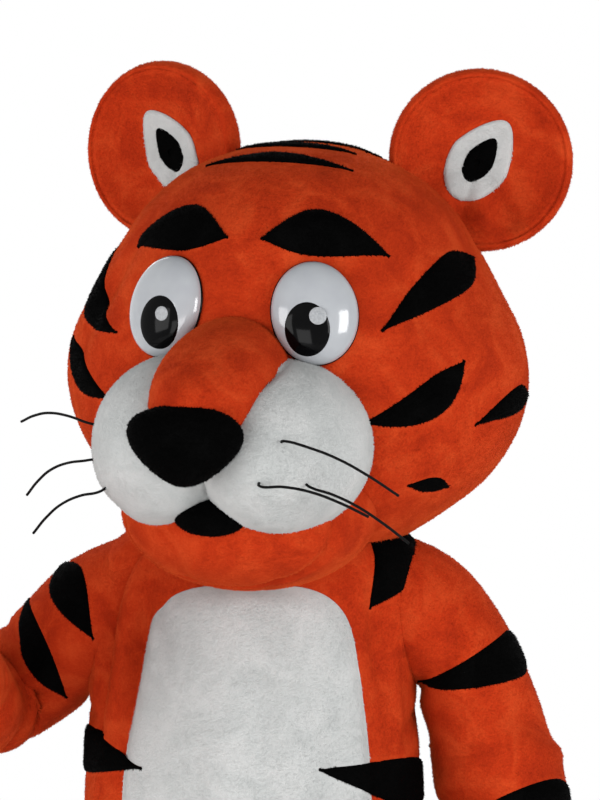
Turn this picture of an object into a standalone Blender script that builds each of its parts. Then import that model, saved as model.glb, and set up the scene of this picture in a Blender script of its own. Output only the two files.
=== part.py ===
"""Tiger mascot costume: a worn plush suit with its head, ears, paws, feet and tail.

Metres, +Z up. The costume faces -Y. The origin is where the wearer's shoulders carry it.
Round a ring, 0 degrees is the front (-Y), 90 is +X and 180 is the back.
"""
import math
from collections import namedtuple

import bmesh
import bpy
from mathutils import Matrix, Vector

MM = 0.001
DEGREE = math.pi / 180.0

# Driving sizes of the cloth and the gaps between pieces
SEAM_GAP = 0.3 * MM
PLUSH_WALL = 3.0 * MM
STRIPE_WALL = 3.0 * MM
HEAD_WALL = 12.0 * MM
SOLE_WALL = 22.0 * MM
BROW_PAD = 9.0 * MM
EAR_PANEL = 4.0 * MM
EAR_SPOT_WALL = 2.5 * MM
EYE_GLOSS_WALL = 1.5 * MM

# Cloth is made this much too long at a flat seam, then trimmed to it
SEAM_ALLOWANCE = 8.0 * MM
CUFF_TRIM = 3.0 * MM

# Cutters reach this far past the piece that they trim
TRIM_REACH = 0.35
FAR = 0.6

# Heights of the worn suit, from the shoulders down
COLLAR_HEIGHT = 0.030
CROTCH_HEIGHT = -0.700
HEM_HEIGHT = -1.365
SOLE_TOP = -1.440

# Where the head sits on the shoulders and how it is turned
HEAD_CENTRE = Vector((0.036, -0.020, 0.170))
HEAD_YAW = math.radians(-18.0)
HEAD_PITCH = math.radians(7.0)
HEAD_ROLL = math.radians(3.0)

# Each table has one row for each ring, from the lowest up
BodyRing = namedtuple("BodyRing", "height half_width front back centre_x")
TORSO_RINGS = [
    BodyRing(-0.700, 0.215, 0.160, 0.180, 0.000),
    BodyRing(-0.600, 0.218, 0.170, 0.190, 0.000),
    BodyRing(-0.480, 0.200, 0.168, 0.165, -0.004),
    BodyRing(-0.350, 0.174, 0.160, 0.138, -0.008),
    BodyRing(-0.230, 0.166, 0.150, 0.130, -0.009),
    BodyRing(-0.150, 0.164, 0.142, 0.132, -0.009),
    BodyRing(-0.085, 0.170, 0.128, 0.130, -0.005),
    BodyRing(-0.045, 0.162, 0.112, 0.120, 0.000),
    BodyRing(-0.015, 0.132, 0.096, 0.106, 0.004),
    BodyRing(0.008, 0.098, 0.082, 0.092, 0.008),
    BodyRing(0.030, 0.080, 0.073, 0.082, 0.010),
]

HeadRing = namedtuple("HeadRing", "height half_width front back")
HEAD_RINGS = [
    HeadRing(-0.188, 0.116, 0.112, 0.122),
    HeadRing(-0.165, 0.150, 0.148, 0.150),
    HeadRing(-0.130, 0.192, 0.178, 0.175),
    HeadRing(-0.085, 0.221, 0.194, 0.190),
    HeadRing(-0.038, 0.232, 0.200, 0.198),
    HeadRing(0.008, 0.224, 0.199, 0.202),
    HeadRing(0.052, 0.200, 0.193, 0.200),
    HeadRing(0.095, 0.175, 0.180, 0.188),
    HeadRing(0.135, 0.147, 0.156, 0.163),
    HeadRing(0.168, 0.107, 0.117, 0.121),
    HeadRing(0.188, 0.058, 0.066, 0.068),
]
HEAD_CROWN = 0.195

# Sleeves run from the cuff up to a row that lies inside the torso
TubeRing = namedtuple("TubeRing", "x y z across deep")
SLEEVE_RIGHT_RINGS = [
    TubeRing(0.277, -0.060, -0.560, 0.050, 0.052),
    TubeRing(0.271, -0.045, -0.500, 0.058, 0.060),
    TubeRing(0.260, -0.022, -0.420, 0.064, 0.067),
    TubeRing(0.248, -0.004, -0.340, 0.067, 0.070),
    TubeRing(0.236, 0.004, -0.265, 0.065, 0.070),
    TubeRing(0.218, 0.005, -0.195, 0.057, 0.068),
    TubeRing(0.192, 0.002, -0.140, 0.058, 0.070),
    TubeRing(0.154, 0.000, -0.098, 0.062, 0.072),
    TubeRing(0.105, 0.000, -0.072, 0.056, 0.066),
]
SLEEVE_LEFT_RINGS = [
    TubeRing(-0.298, -0.185, -0.132, 0.048, 0.050),
    TubeRing(-0.302, -0.130, -0.156, 0.054, 0.055),
    TubeRing(-0.301, -0.072, -0.177, 0.057, 0.058),
    TubeRing(-0.293, -0.018, -0.192, 0.056, 0.058),
    TubeRing(-0.277, 0.026, -0.194, 0.054, 0.056),
    TubeRing(-0.254, 0.048, -0.182, 0.054, 0.056),
    TubeRing(-0.227, 0.046, -0.162, 0.056, 0.058),
    TubeRing(-0.200, 0.030, -0.138, 0.058, 0.062),
    TubeRing(-0.157, 0.008, -0.102, 0.062, 0.070),
    TubeRing(-0.105, 0.000, -0.074, 0.056, 0.066),
]

# A leg starts as half of the torso's lowest ring and turns round lower down
LegRing = namedtuple("LegRing", "height centre_x centre_y across deep roundness")
LEG_RINGS = [
    LegRing(-1.365, 0.128, 0.000, 0.076, 0.082, 1.0),
    LegRing(-1.310, 0.127, 0.000, 0.088, 0.094, 1.0),
    LegRing(-1.220, 0.125, 0.002, 0.093, 0.099, 1.0),
    LegRing(-1.110, 0.122, 0.004, 0.095, 0.103, 1.0),
    LegRing(-1.000, 0.119, 0.004, 0.100, 0.112, 1.0),
    LegRing(-0.900, 0.116, 0.004, 0.106, 0.126, 0.97),
    LegRing(-0.810, 0.114, 0.006, 0.110, 0.142, 0.75),
    LegRing(-0.745, 0.112, 0.008, 0.112, 0.155, 0.32),
    LegRing(-0.700, 0.110, 0.010, 0.112, 0.160, 0.0),
]

FootRing = namedtuple("FootRing", "height half_width front back")
FOOT_RINGS = [
    FootRing(-1.440, 0.088, 0.215, 0.108),
    FootRing(-1.425, 0.096, 0.226, 0.116),
    FootRing(-1.405, 0.096, 0.222, 0.116),
    FootRing(-1.388, 0.089, 0.190, 0.108),
    FootRing(-1.376, 0.080, 0.130, 0.095),
    FootRing(-1.365, 0.076, 0.082, 0.082),
]
FOOT_TURN = math.radians(8.0)

# A paw mitt runs on from the cuff, and its last ring closes on the fingertip
PawRing = namedtuple("PawRing", "reach across deep")
PAW_RINGS = [
    PawRing(0.176, 0.016, 0.026),
    PawRing(0.166, 0.028, 0.046),
    PawRing(0.142, 0.037, 0.062),
    PawRing(0.105, 0.042, 0.070),
    PawRing(0.065, 0.044, 0.064),
    PawRing(0.030, 0.046, 0.054),
    PawRing(-0.008, 0.050, 0.052),
]
PAW_TIP = 0.180

TailRing = namedtuple("TailRing", "x y z across deep")
TAIL_RINGS = [
    TailRing(0.055, 0.300, -1.180, 0.022, 0.022),
    TailRing(0.040, 0.335, -1.130, 0.031, 0.031),
    TailRing(0.018, 0.350, -1.040, 0.034, 0.034),
    TailRing(0.000, 0.335, -0.930, 0.035, 0.035),
    TailRing(-0.006, 0.300, -0.820, 0.036, 0.036),
    TailRing(-0.004, 0.262, -0.720, 0.037, 0.037),
    TailRing(0.000, 0.225, -0.640, 0.039, 0.039),
    TailRing(0.000, 0.170, -0.590, 0.040, 0.040),
]

# A fold is a soft trough (negative depth) or ridge: its length runs along its slant
Fold = namedtuple("Fold", "turn place length width depth slant")
TORSO_FOLDS = [
    Fold(-58, -0.110, 0.085, 0.022, -0.010, 75),
    Fold(-40, -0.130, 0.080, 0.020, -0.007, 82),
    Fold(52, -0.130, 0.060, 0.022, -0.007, 110),
    Fold(18, -0.400, 0.130, 0.028, -0.006, 84),
    Fold(-22, -0.430, 0.140, 0.030, -0.006, 95),
    Fold(84, -0.330, 0.050, 0.020, -0.007, 10),
    Fold(-86, -0.340, 0.055, 0.020, -0.008, -12),
    Fold(84, -0.420, 0.060, 0.024, 0.006, 6),
    Fold(-92, -0.440, 0.060, 0.024, 0.006, -8),
    Fold(36, -0.640, 0.090, 0.026, -0.009, 35),
    Fold(-36, -0.640, 0.090, 0.026, -0.009, -35),
    Fold(140, -0.330, 0.080, 0.024, -0.008, 14),
    Fold(-142, -0.350, 0.080, 0.024, -0.008, -16),
    Fold(150, -0.620, 0.100, 0.028, -0.009, -30),
    Fold(-150, -0.620, 0.100, 0.028, -0.009, 30),
]
SLEEVE_RIGHT_FOLDS = [
    Fold(-80, 0.720, 0.050, 0.016, -0.010, 20),
    Fold(30, 0.600, 0.060, 0.018, -0.006, -25),
    Fold(-60, 0.470, 0.050, 0.016, -0.010, 15),
    Fold(40, 0.400, 0.060, 0.020, -0.006, -18),
    Fold(-70, 0.330, 0.055, 0.016, -0.009, 8),
    Fold(150, 0.450, 0.060, 0.018, -0.007, 12),
    Fold(60, 0.200, 0.060, 0.018, -0.007, 14),
    Fold(-90, 0.130, 0.060, 0.018, -0.007, -10),
]
SLEEVE_LEFT_FOLDS = [
    Fold(20, 0.640, 0.040, 0.012, -0.006, 70),
    Fold(-30, 0.300, 0.045, 0.015, -0.006, 30),
    Fold(60, 0.200, 0.050, 0.016, -0.006, -20),
    Fold(180, 0.550, 0.050, 0.016, -0.006, 12),
    Fold(120, 0.750, 0.050, 0.016, -0.006, -14),
]
LEG_FOLDS = [
    Fold(20, -1.285, 0.090, 0.018, -0.009, 6),
    Fold(-60, -1.255, 0.080, 0.018, -0.008, -10),
    Fold(150, -1.270, 0.080, 0.018, -0.009, 12),
    Fold(60, -1.210, 0.080, 0.020, -0.006, -8),
    Fold(10, -1.060, 0.070, 0.020, -0.007, 14),
    Fold(170, -1.040, 0.080, 0.020, -0.009, -8),
    Fold(-40, -0.860, 0.090, 0.024, -0.008, 40),
    Fold(60, -0.800, 0.080, 0.024, -0.007, -42),
    Fold(160, -0.780, 0.090, 0.022, -0.009, 16),
]
HEAD_FOLDS = [
    Fold(-52, 0.600, 0.070, 0.016, -0.009, 80),
    Fold(52, 0.600, 0.060, 0.018, -0.005, 100),
]
FOOT_FOLDS = [
    Fold(-13, -1.405, 0.045, 0.010, -0.010, 90),
    Fold(13, -1.405, 0.045, 0.010, -0.010, 90),
]
PAW_FOLDS = [
    Fold(0, 0.560, 0.030, 0.024, 0.030, 0),
    Fold(75, 0.150, 0.040, 0.008, -0.007, 90),
    Fold(108, 0.150, 0.040, 0.008, -0.007, 90),
    Fold(-75, 0.150, 0.040, 0.008, -0.007, 90),
    Fold(-108, 0.150, 0.040, 0.008, -0.007, 90),
]

# A stripe lies on a skin: its centre, size, slant, bow and where it is fullest
Stripe = namedtuple("Stripe", "name skin turn place length width slant bow fullest")
STRIPES = [
    Stripe("stripe_shoulder_right", "torso", 63, -0.040, 0.150, 0.078, 56, 0.006, 0.70),
    Stripe("stripe_waist_right", "torso", 71, -0.256, 0.260, 0.048, -5, -0.010, 0.50),
    Stripe("stripe_waist_left", "torso", -84, -0.246, 0.240, 0.046, 0, 0.010, 0.48),
    Stripe("stripe_shoulder_left", "sleeve_left", -38, 0.880, 0.120, 0.042, 4, 0.006, 0.40),
    Stripe("stripe_arm_right_upper", "sleeve_right", 16, 0.716, 0.175, 0.042, -8, -0.006, 0.80),
    Stripe("stripe_arm_right_lower", "sleeve_right", 36, 0.432, 0.175, 0.042, -4, 0.008, 0.62),
    Stripe("crown_stripe_front", "crown", 0.000, 0.066, 0.150, 0.022, 0, 0.008, 0.50),
    Stripe("crown_stripe_middle", "crown", 0.000, 0.014, 0.124, 0.022, 0, 0.008, 0.50),
    Stripe("crown_stripe_back", "crown", 0.000, -0.046, 0.140, 0.024, 0, 0.010, 0.50),
    Stripe("cheek_stripe_right_upper", "head", 64, 0.618, 0.185, 0.040, 21, 0.012, 0.72),
    Stripe("cheek_stripe_right_middle", "head", 46, 0.422, 0.125, 0.036, 26, -0.012, 0.60),
    Stripe("cheek_stripe_right_lower", "head", 80, 0.366, 0.110, 0.028, 10, 0.006, 0.70),
    Stripe("cheek_stripe_left_upper", "head", -58, 0.606, 0.165, 0.038, -30, -0.018, 0.40),
    Stripe("cheek_stripe_left_lower", "head", -52, 0.434, 0.120, 0.032, -24, -0.008, 0.40),
]
STRIPE_TIP = 1.5 * MM

# A sleeve is one tube, or two panels where the arm is bent
SleevePanel = namedtuple("SleevePanel", "name side first last")
SLEEVE_PANELS = [
    SleevePanel("sleeve_right", "right", 0, 360),
    SleevePanel("sleeve_left_front", "left", -90, 90),
    SleevePanel("sleeve_left_back", "left", 90, 270),
]

# The body's panels, by the turns that they cover
TORSO_PANELS = {"suit_front": (-90, 90), "suit_back_right": (90, 180), "suit_back_left": (-180, -90)}

BELLY_LOW = -0.600
BELLY_HIGH = -0.068
BELLY_HALF_WIDTH = 0.133
BELLY_TURN = -2.5
BELLY_SQUARENESS = 3.4
BELLY_EASE = 0.7 * SEAM_GAP

PLACKET_LOW = -0.520
PLACKET_HIGH = 0.020
PLACKET_WIDTH = 0.042

# Face pieces, in the head's own frame: a pad is an ellipsoid cut to sit on the head
Pad = namedtuple("Pad", "x y z half_width half_depth half_height")
MUZZLE_PAD = Pad(0.051, -0.198, -0.078, 0.081, 0.116, 0.083)
BRIDGE_PAD = Pad(0.000, -0.232, -0.020, 0.060, 0.112, 0.056)
BRIDGE_SLOPE = math.radians(16.0)
NOSE_PAD = Pad(0.000, -0.332, -0.062, 0.052, 0.030, 0.037)
NOSE_TAPER = 0.38
JAW_PAD = Pad(0.000, -0.146, -0.150, 0.122, 0.122, 0.074)
MOUTH_PAD = Pad(0.000, -0.258, -0.144, 0.036, 0.022, 0.013)
HEAD_SEAM_DEPTH = 0.040

Feature = namedtuple("Feature", "turn place half_width half_height bulge")
EYE = Feature(21.5, 0.590, 0.041, 0.049, 0.020)
PUPIL_DROP = 0.016
PUPIL_INWARD = 0.010
PUPIL_HALF_WIDTH = 0.021
PUPIL_HALF_HEIGHT = 0.025
PUPIL_SIDES = 24

BROW_TURN = 27.0
BROW_PLACE = 0.728
BROW_LENGTH = 0.126
BROW_WIDTH = 0.050
BROW_SLANT = 8.0
BROW_BOW = 0.016
BROW_FULLEST = 0.42

# The ear is a cupped dish: rings from its middle out to the rim, round to the back
EarRing = namedtuple("EarRing", "radius depth")
EAR_DISH = [EarRing(0.22, -0.0265), EarRing(0.48, -0.0220), EarRing(0.74, -0.0130), EarRing(0.93, -0.0030)]
EAR_RIM_AND_BACK = [
    EarRing(1.00, 0.0020),
    EarRing(1.04, -0.0080),
    EarRing(1.00, -0.0220),
    EarRing(0.80, -0.0400),
    EarRing(0.45, -0.0520),
]
EAR_MIDDLE = -0.0280
EAR_BACK_MIDDLE = -0.0560
EAR_HALF_WIDTH = 0.088
EAR_HALF_HEIGHT = 0.086
EAR_OUT = 0.170
EAR_BEHIND = 0.055
EAR_UP = 0.180
EAR_LEAN = math.radians(34.0)
EAR_FACING = math.radians(16.0)
EAR_PATCH = (0.062, 0.092)
EAR_SPOT = (0.030, 0.054)

# Whiskers leave the muzzle pad at a bearing and a rise, and end at an offset
Whisker = namedtuple("Whisker", "side bearing rise out back drop")
WHISKERS = [
    Whisker(-1, 58, 14, 0.085, 0.030, 0.006),
    Whisker(-1, 52, -8, 0.076, 0.025, 0.042),
    Whisker(-1, 40, -26, 0.078, 0.015, 0.050),
    Whisker(1, 24, 14, 0.105, 0.020, 0.046),
    Whisker(1, 10, -12, 0.105, -0.004, 0.024),
    Whisker(1, 40, -14, 0.095, 0.010, 0.050),
]
WHISKER_RADIUS = 1.0 * MM
WHISKER_STEM = 6.0 * MM
WHISKER_ROOT = 5.0 * MM

# How finely each form is divided
TORSO_COLUMNS = 24
TORSO_ROWS = 12
TORSO_CROWDING = 1.35
HEAD_COLUMNS = 22
HEAD_ROWS = 11
SLEEVE_COLUMNS = 12
SLEEVE_ROWS = 11
LEG_COLUMNS = 12
LEG_ROWS = 8
FOOT_COLUMNS = 12
FOOT_ROWS = 5
PAW_COLUMNS = 12
PAW_ROWS = 7
TAIL_COLUMNS = 8
TAIL_ROWS = 9
EAR_COLUMNS = 12
PAD_SEGMENTS = 14
PAD_RINGS = 9
SMALL_PAD = 0.054
SMALL_PAD_SEGMENTS = 12
SMALL_PAD_RINGS = 6
STRIPE_STATIONS = 6
PANEL_STATIONS = 10
LEAF_SIDES = 10
STRAND_SIDES = 6

# Each finish: base colour, roughness
FINISHES = {
    "plush_orange": ((0.60, 0.072, 0.014), 0.95),
    "plush_black": ((0.006, 0.006, 0.007), 0.95),
    "plush_white": ((0.70, 0.71, 0.70), 0.95),
    "gloss_white": ((0.78, 0.80, 0.82), 0.18),
    "gloss_black": ((0.010, 0.010, 0.012), 0.12),
    "strand_black": ((0.012, 0.012, 0.012), 0.45),
    "sole_black": ((0.020, 0.020, 0.020), 0.75),
}


def collection(name):
    made = bpy.data.collections.new(name)
    bpy.context.scene.collection.children.link(made)
    return made


def clear_scene():
    for thing in list(bpy.data.objects):
        bpy.data.objects.remove(thing, do_unlink=True)


def finish_for(name, finish):
    colour, roughness = FINISHES[finish]
    material = bpy.data.materials.new(name)
    material.use_nodes = True
    shader = material.node_tree.nodes["Principled BSDF"]
    shader.inputs["Base Color"].default_value = (*colour, 1.0)
    shader.inputs["Roughness"].default_value = roughness
    shader.inputs["Metallic"].default_value = 0.0
    return material


def add_piece(name, mesh, finish):
    piece = bpy.data.objects.new(name, mesh)
    piece.data.materials.append(finish_for(name, finish))
    PIECES.objects.link(piece)
    return piece


def add_cutter(name, mesh):
    cutter = bpy.data.objects.new(name, mesh)
    cutter.hide_render = True
    cutter.display_type = "WIRE"
    CUTTERS.objects.link(cutter)
    return cutter


def cut(piece, *cutters):
    for cutter in cutters:
        step = piece.modifiers.new("Cut", "BOOLEAN")
        step.operation = "DIFFERENCE"
        step.object = cutter


def keep_inside(piece, *cutters):
    for cutter in cutters:
        step = piece.modifiers.new("Keep", "BOOLEAN")
        step.operation = "INTERSECT"
        step.object = cutter


def blend_rows(rows, place):
    """A smooth curve through a table's rows, at a place from 0 to its last row."""
    last = len(rows) - 1
    place = min(max(place, 0.0), float(last))
    low = min(int(place), last - 1)
    f = place - low
    before, first, second, after = (rows[min(max(low + k, 0), last)] for k in (-1, 0, 1, 2))
    values = []
    for a, b, c, d in zip(before, first, second, after):
        values.append(0.5 * (2 * b + (c - a) * f + (2 * a - 5 * b + 4 * c - d) * f * f
                             + (3 * b - a - 3 * c + d) * f * f * f))
    return type(rows[0])(*values)


def row_at_height(rows, height):
    """The table's blended row at a height, with exactly that height."""
    if height <= rows[0].height:
        return rows[0]._replace(height=height)
    if height >= rows[-1].height:
        return rows[-1]._replace(height=height)
    for low, (a, b) in enumerate(zip(rows, rows[1:])):
        if height <= b.height:
            place = low + (height - a.height) / (b.height - a.height)
            return blend_rows(rows, place)._replace(height=height)
    return rows[-1]


def frames_along(rows):
    """Centre and two ring directions at each row of a tube, without twist.

    The last row's first direction faces the front.
    """
    centres = [Vector((row.x, row.y, row.z)) for row in rows]
    last = len(centres) - 1
    tangents = [(centres[min(k + 1, last)] - centres[max(k - 1, 0)]).normalized() for k in range(last + 1)]
    forward = Vector((0.0, -1.0, 0.0))
    first = (forward - tangents[-1] * forward.dot(tangents[-1])).normalized()
    frames = [None] * (last + 1)
    for k in range(last, -1, -1):
        first = (first - tangents[k] * first.dot(tangents[k])).normalized()
        frames[k] = (centres[k], first, tangents[k].cross(first))
    return frames


def body_point(row, turn):
    angle = math.radians(turn)
    depth = row.front if math.cos(angle) > 0 else row.back
    return Vector((math.sin(angle) * row.half_width, -math.cos(angle) * depth, row.height))


def torso_shape(turn, height):
    row = row_at_height(TORSO_RINGS, height)
    return body_point(row, turn) + Vector((row.centre_x, 0.0, 0.0))


def head_matrix():
    turn = Matrix.Rotation(HEAD_YAW, 4, "Z")
    nod = Matrix.Rotation(HEAD_PITCH, 4, "X")
    tilt = Matrix.Rotation(HEAD_ROLL, 4, "Y")
    return Matrix.Translation(HEAD_CENTRE) @ turn @ nod @ tilt


def head_shape(turn, place):
    row = blend_rows(HEAD_RINGS, place * (len(HEAD_RINGS) - 1))
    return head_matrix() @ body_point(row, turn)


def tube_shape(rows):
    """A tube's surface: place 0 is its first row and 1 its last."""
    last = len(rows) - 1
    fine = [blend_rows(rows, k / 4) for k in range(4 * last + 1)]
    frames = frames_along(fine)

    def shape(turn, place):
        spot = min(max(place, 0.0), 1.0) * (len(fine) - 1)
        low = min(int(spot), len(fine) - 2)
        f = spot - low
        angle = math.radians(turn)
        ends = []
        for k in (low, low + 1):
            centre, first, second = frames[k]
            ends.append(centre + first * math.cos(angle) * fine[k].deep
                        + second * math.sin(angle) * fine[k].across)
        return ends[0].lerp(ends[1], f)

    return shape


def half_hip(turn, centre_x, centre_y, side):
    """The torso's lowest ring cut at the middle: its outline seen from the leg's centre."""
    ring = TORSO_RINGS[0]
    angle = math.radians(turn)
    heading_x = math.sin(angle)
    heading_y = -math.cos(angle)
    low, high = 0.0, 2.0 * ring.half_width
    for _ in range(30):
        reach = 0.5 * (low + high)
        x = centre_x + heading_x * reach
        y = centre_y + heading_y * reach
        depth = ring.front if y < 0 else ring.back
        inside = (x / ring.half_width) ** 2 + (y / depth) ** 2 < 1.0 and side * x > 0.5 * SEAM_GAP
        low, high = (reach, high) if inside else (low, reach)
    return Vector((centre_x + heading_x * low, centre_y + heading_y * low, 0.0))


def leg_shape(side):
    def shape(turn, height):
        row = row_at_height(LEG_RINGS, height)
        angle = math.radians(turn)
        centre_x = side * row.centre_x
        round_x = centre_x + math.sin(angle) * row.across
        round_y = row.centre_y - math.cos(angle) * row.deep
        hip = half_hip(turn, centre_x, row.centre_y, side)
        blend = min(max(row.roundness, 0.0), 1.0)
        x = hip.x + (round_x - hip.x) * blend
        y = hip.y + (round_y - hip.y) * blend
        return Vector((side * max(side * x, 0.5 * SEAM_GAP), y, height))
    return shape


def foot_shape(side):
    ankle = LEG_RINGS[0]

    def shape(turn, height):
        row = row_at_height(FOOT_RINGS, height)
        flat = body_point(row, turn)
        share = (FOOT_RINGS[-1].height - height) / (FOOT_RINGS[-1].height - FOOT_RINGS[0].height)
        swing = Matrix.Rotation(side * FOOT_TURN * min(max(share, 0.0), 1.0), 4, "Z")
        return swing @ flat + Vector((side * ankle.centre_x, ankle.centre_y, 0.0))
    return shape


def paw_rows(sleeve_rows):
    """Rows of a mitt that runs straight on from a sleeve's cuff, fingertip first."""
    cuff, along = cuff_line(sleeve_rows)
    rows = []
    for ring in PAW_RINGS:
        centre = cuff + along * (ring.reach + CUFF_TRIM)
        rows.append(TubeRing(centre.x, centre.y, centre.z, ring.across, ring.deep))
    return rows, cuff + along * (PAW_TIP + CUFF_TRIM)


class Skin:
    """A surface over (turn, place), with its folds, that pieces are cut from or laid on."""

    def __init__(self, shape, columns, places, round_scale, along_scale, folds=(), pole=None):
        self.shape = shape
        self.columns = columns
        self.places = places
        self.round_scale = round_scale
        self.along_scale = along_scale
        self.folds = folds
        self.pole = pole

    def fold_height(self, turn, place):
        total = 0.0
        for fold in self.folds:
            across = ((turn - fold.turn + 180.0) % 360.0 - 180.0) * self.round_scale
            along = (place - fold.place) * self.along_scale
            slant = math.radians(fold.slant)
            run = across * math.cos(slant) + along * math.sin(slant)
            off = along * math.cos(slant) - across * math.sin(slant)
            total += fold.depth * math.exp(-(run / fold.length) ** 2 - (off / fold.width) ** 2)
        return total

    def bare_normal(self, turn, place, surface):
        step_turn = 1.0
        step_place = 0.004 / self.along_scale
        low = max(place - step_place, self.places[0])
        high = min(place + step_place, self.places[-1])
        round_way = surface(turn + step_turn, place) - surface(turn - step_turn, place)
        up_way = surface(turn, high) - surface(turn, low)
        return round_way.cross(up_way).normalized()

    def folded(self, turn, place):
        height = self.fold_height(turn, place)
        point = self.shape(turn, place)
        if abs(height) < 0.01 * MM:
            return point
        return point + self.bare_normal(turn, place, self.shape) * height

    def point(self, turn, place, offset=0.0):
        point = self.folded(turn, place)
        if offset == 0.0:
            return point
        return point + self.bare_normal(turn, place, self.folded) * offset

    def scales_at(self, turn, place):
        """Metres to a degree round the skin, and to one unit along it, at one place."""
        reach = 0.01
        round_way = self.shape(turn + 1.0, place) - self.shape(turn - 1.0, place)
        along_way = self.shape(turn, place + reach) - self.shape(turn, place - reach)
        return 0.5 * round_way.length, 0.5 * along_way.length / reach

    def rows(self, turns, offset=0.0):
        return [[self.point(turn, place, offset) for turn in turns] for place in self.places]

    def pole_point(self, offset=0.0):
        if self.pole is None:
            return None
        ring = [self.shape(turn, self.places[-1]) for turn in (0, 90, 180, 270)]
        middle = sum(ring, Vector()) / 4
        return self.pole + (self.pole - middle).normalized() * offset

    def all_turns(self):
        return [360.0 * k / self.columns - 180.0 for k in range(self.columns)]


class CrownPlan:
    """The crown seen from above: sideways and forward distances in the head's own frame."""

    def scales_at(self, sideways, forward):
        return 1.0, 1.0

    def point(self, sideways, forward, offset):
        return head_matrix() @ Vector((sideways, -forward, HEAD_CROWN + offset))


def loft(name, rows, closed, start=None, end=None):
    """A mesh through rows of points, with the same diagonal in each cell.

    A start or end point closes that end with a fan.
    """
    shape = bmesh.new()
    lines = [[shape.verts.new(point) for point in row] for row in rows]
    count = len(rows[0])
    spans = count if closed else count - 1
    for lower, upper in zip(lines, lines[1:]):
        for k in range(spans):
            n = (k + 1) % count
            shape.faces.new((lower[k], lower[n], upper[n]))
            shape.faces.new((lower[k], upper[n], upper[k]))
    if start is not None:
        tip = shape.verts.new(start)
        for k in range(spans):
            shape.faces.new((tip, lines[0][(k + 1) % count], lines[0][k]))
    if end is not None:
        tip = shape.verts.new(end)
        for k in range(spans):
            shape.faces.new((tip, lines[-1][k], lines[-1][(k + 1) % count]))
        bmesh.ops.recalc_face_normals(shape, faces=shape.faces)
    return to_mesh(name, shape)


def wall(name, outer, inner, closed, outer_tip=None, inner_tip=None):
    """A cloth wall between two matching sets of rows, with its rims closed.

    With tips, the last row closes over the top, or the first row where the tip comes first.
    """
    shape = bmesh.new()
    sheets = [[[shape.verts.new(point) for point in row] for row in rows] for rows in (outer, inner)]
    count = len(outer[0])
    spans = count if closed else count - 1

    def cell(a, b, c, d, turned):
        for corners in ((a, b, c), (a, c, d)):
            shape.faces.new(reversed(corners) if turned else corners)

    for lines, turned in zip(sheets, (False, True)):
        for lower, upper in zip(lines, lines[1:]):
            for k in range(spans):
                n = (k + 1) % count
                cell(lower[k], lower[n], upper[n], upper[k], turned)
    skin, lining = sheets
    for k in range(spans):
        n = (k + 1) % count
        cell(lining[0][k], lining[0][n], skin[0][n], skin[0][k], False)
        if outer_tip is None:
            cell(skin[-1][k], skin[-1][n], lining[-1][n], lining[-1][k], False)
    if not closed:
        for low in range(len(outer) - 1):
            cell(lining[low][0], skin[low][0], skin[low + 1][0], lining[low + 1][0], False)
            cell(skin[low][-1], lining[low][-1], lining[low + 1][-1], skin[low + 1][-1], False)
    if outer_tip is not None:
        for lines, tip, turned in ((skin, outer_tip, False), (lining, inner_tip, True)):
            top = shape.verts.new(tip)
            for k in range(spans):
                corners = (lines[-1][k], lines[-1][(k + 1) % count], top)
                shape.faces.new(reversed(corners) if turned else corners)
    return to_mesh(name, shape)


def skin_wall(name, skin, finish, outer, inner, turns=None):
    """A piece of cloth between two offsets from a skin, all round or over some turns."""
    closed = turns is None
    turns = skin.all_turns() if closed else turns
    tips = (skin.pole_point(outer), skin.pole_point(inner)) if closed else (None, None)
    mesh = wall(name, skin.rows(turns, outer), skin.rows(turns, inner), closed, *tips)
    return add_piece(name, mesh, finish)


def to_mesh(name, shape):
    mesh = bpy.data.meshes.new(name)
    shape.normal_update()
    shape.to_mesh(mesh)
    shape.free()
    return mesh


def middle_of(points):
    return sum(points, Vector()) / len(points)


def hull_cutter(name, skin, offset):
    """The solid inside a skin, moved out by an offset, with both ends closed."""
    rows = skin.rows(skin.all_turns(), offset)
    end = skin.pole_point(offset) or middle_of(rows[-1])
    return add_cutter(name, loft(name, rows, True, middle_of(rows[0]), end))


def layer(name, skin, finish, thickness, offset=SEAM_GAP):
    """A piece of cloth laid all over a skin, for cutting to an outline."""
    return skin_wall(name, skin, finish, offset + thickness, offset)


def ribbon_places(stripe, skin):
    """Rows of (turn, place) across a stripe, along its bowed line."""
    slant = math.radians(stripe.slant)
    round_scale, along_scale = skin.scales_at(stripe.turn, stripe.place)
    places = []
    for k in range(STRIPE_STATIONS + 1):
        share = 0.5 - 0.5 * math.cos(math.pi * k / STRIPE_STATIONS)
        if share < stripe.fullest:
            fill = math.sin(0.5 * math.pi * share / stripe.fullest)
        else:
            fill = math.sin(0.5 * math.pi * (1.0 - share) / (1.0 - stripe.fullest))
        run = (share - 0.5) * stripe.length
        off = stripe.bow * (1.0 - (2.0 * share - 1.0) ** 2)
        half = max(0.5 * stripe.width * fill, STRIPE_TIP)
        row = []
        for edge in (off - half, off, off + half):
            across = run * math.cos(slant) - edge * math.sin(slant)
            along = run * math.sin(slant) + edge * math.cos(slant)
            row.append((stripe.turn + across / round_scale, stripe.place + along / along_scale))
        places.append(row)
    return places


def prism_over(name, skin, places, inner, outer):
    """A closed solid over a strip of (turn, place) rows, through the skin."""
    low = [[skin.point(turn, place, inner) for turn, place in row] for row in places]
    high = [[skin.point(turn, place, outer) for turn, place in row] for row in places]
    rings = [bottom + list(reversed(top)) for bottom, top in zip(low, high)]
    return add_cutter(name, loft(name, rings, True, middle_of(rings[0]), middle_of(rings[-1])))


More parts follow.
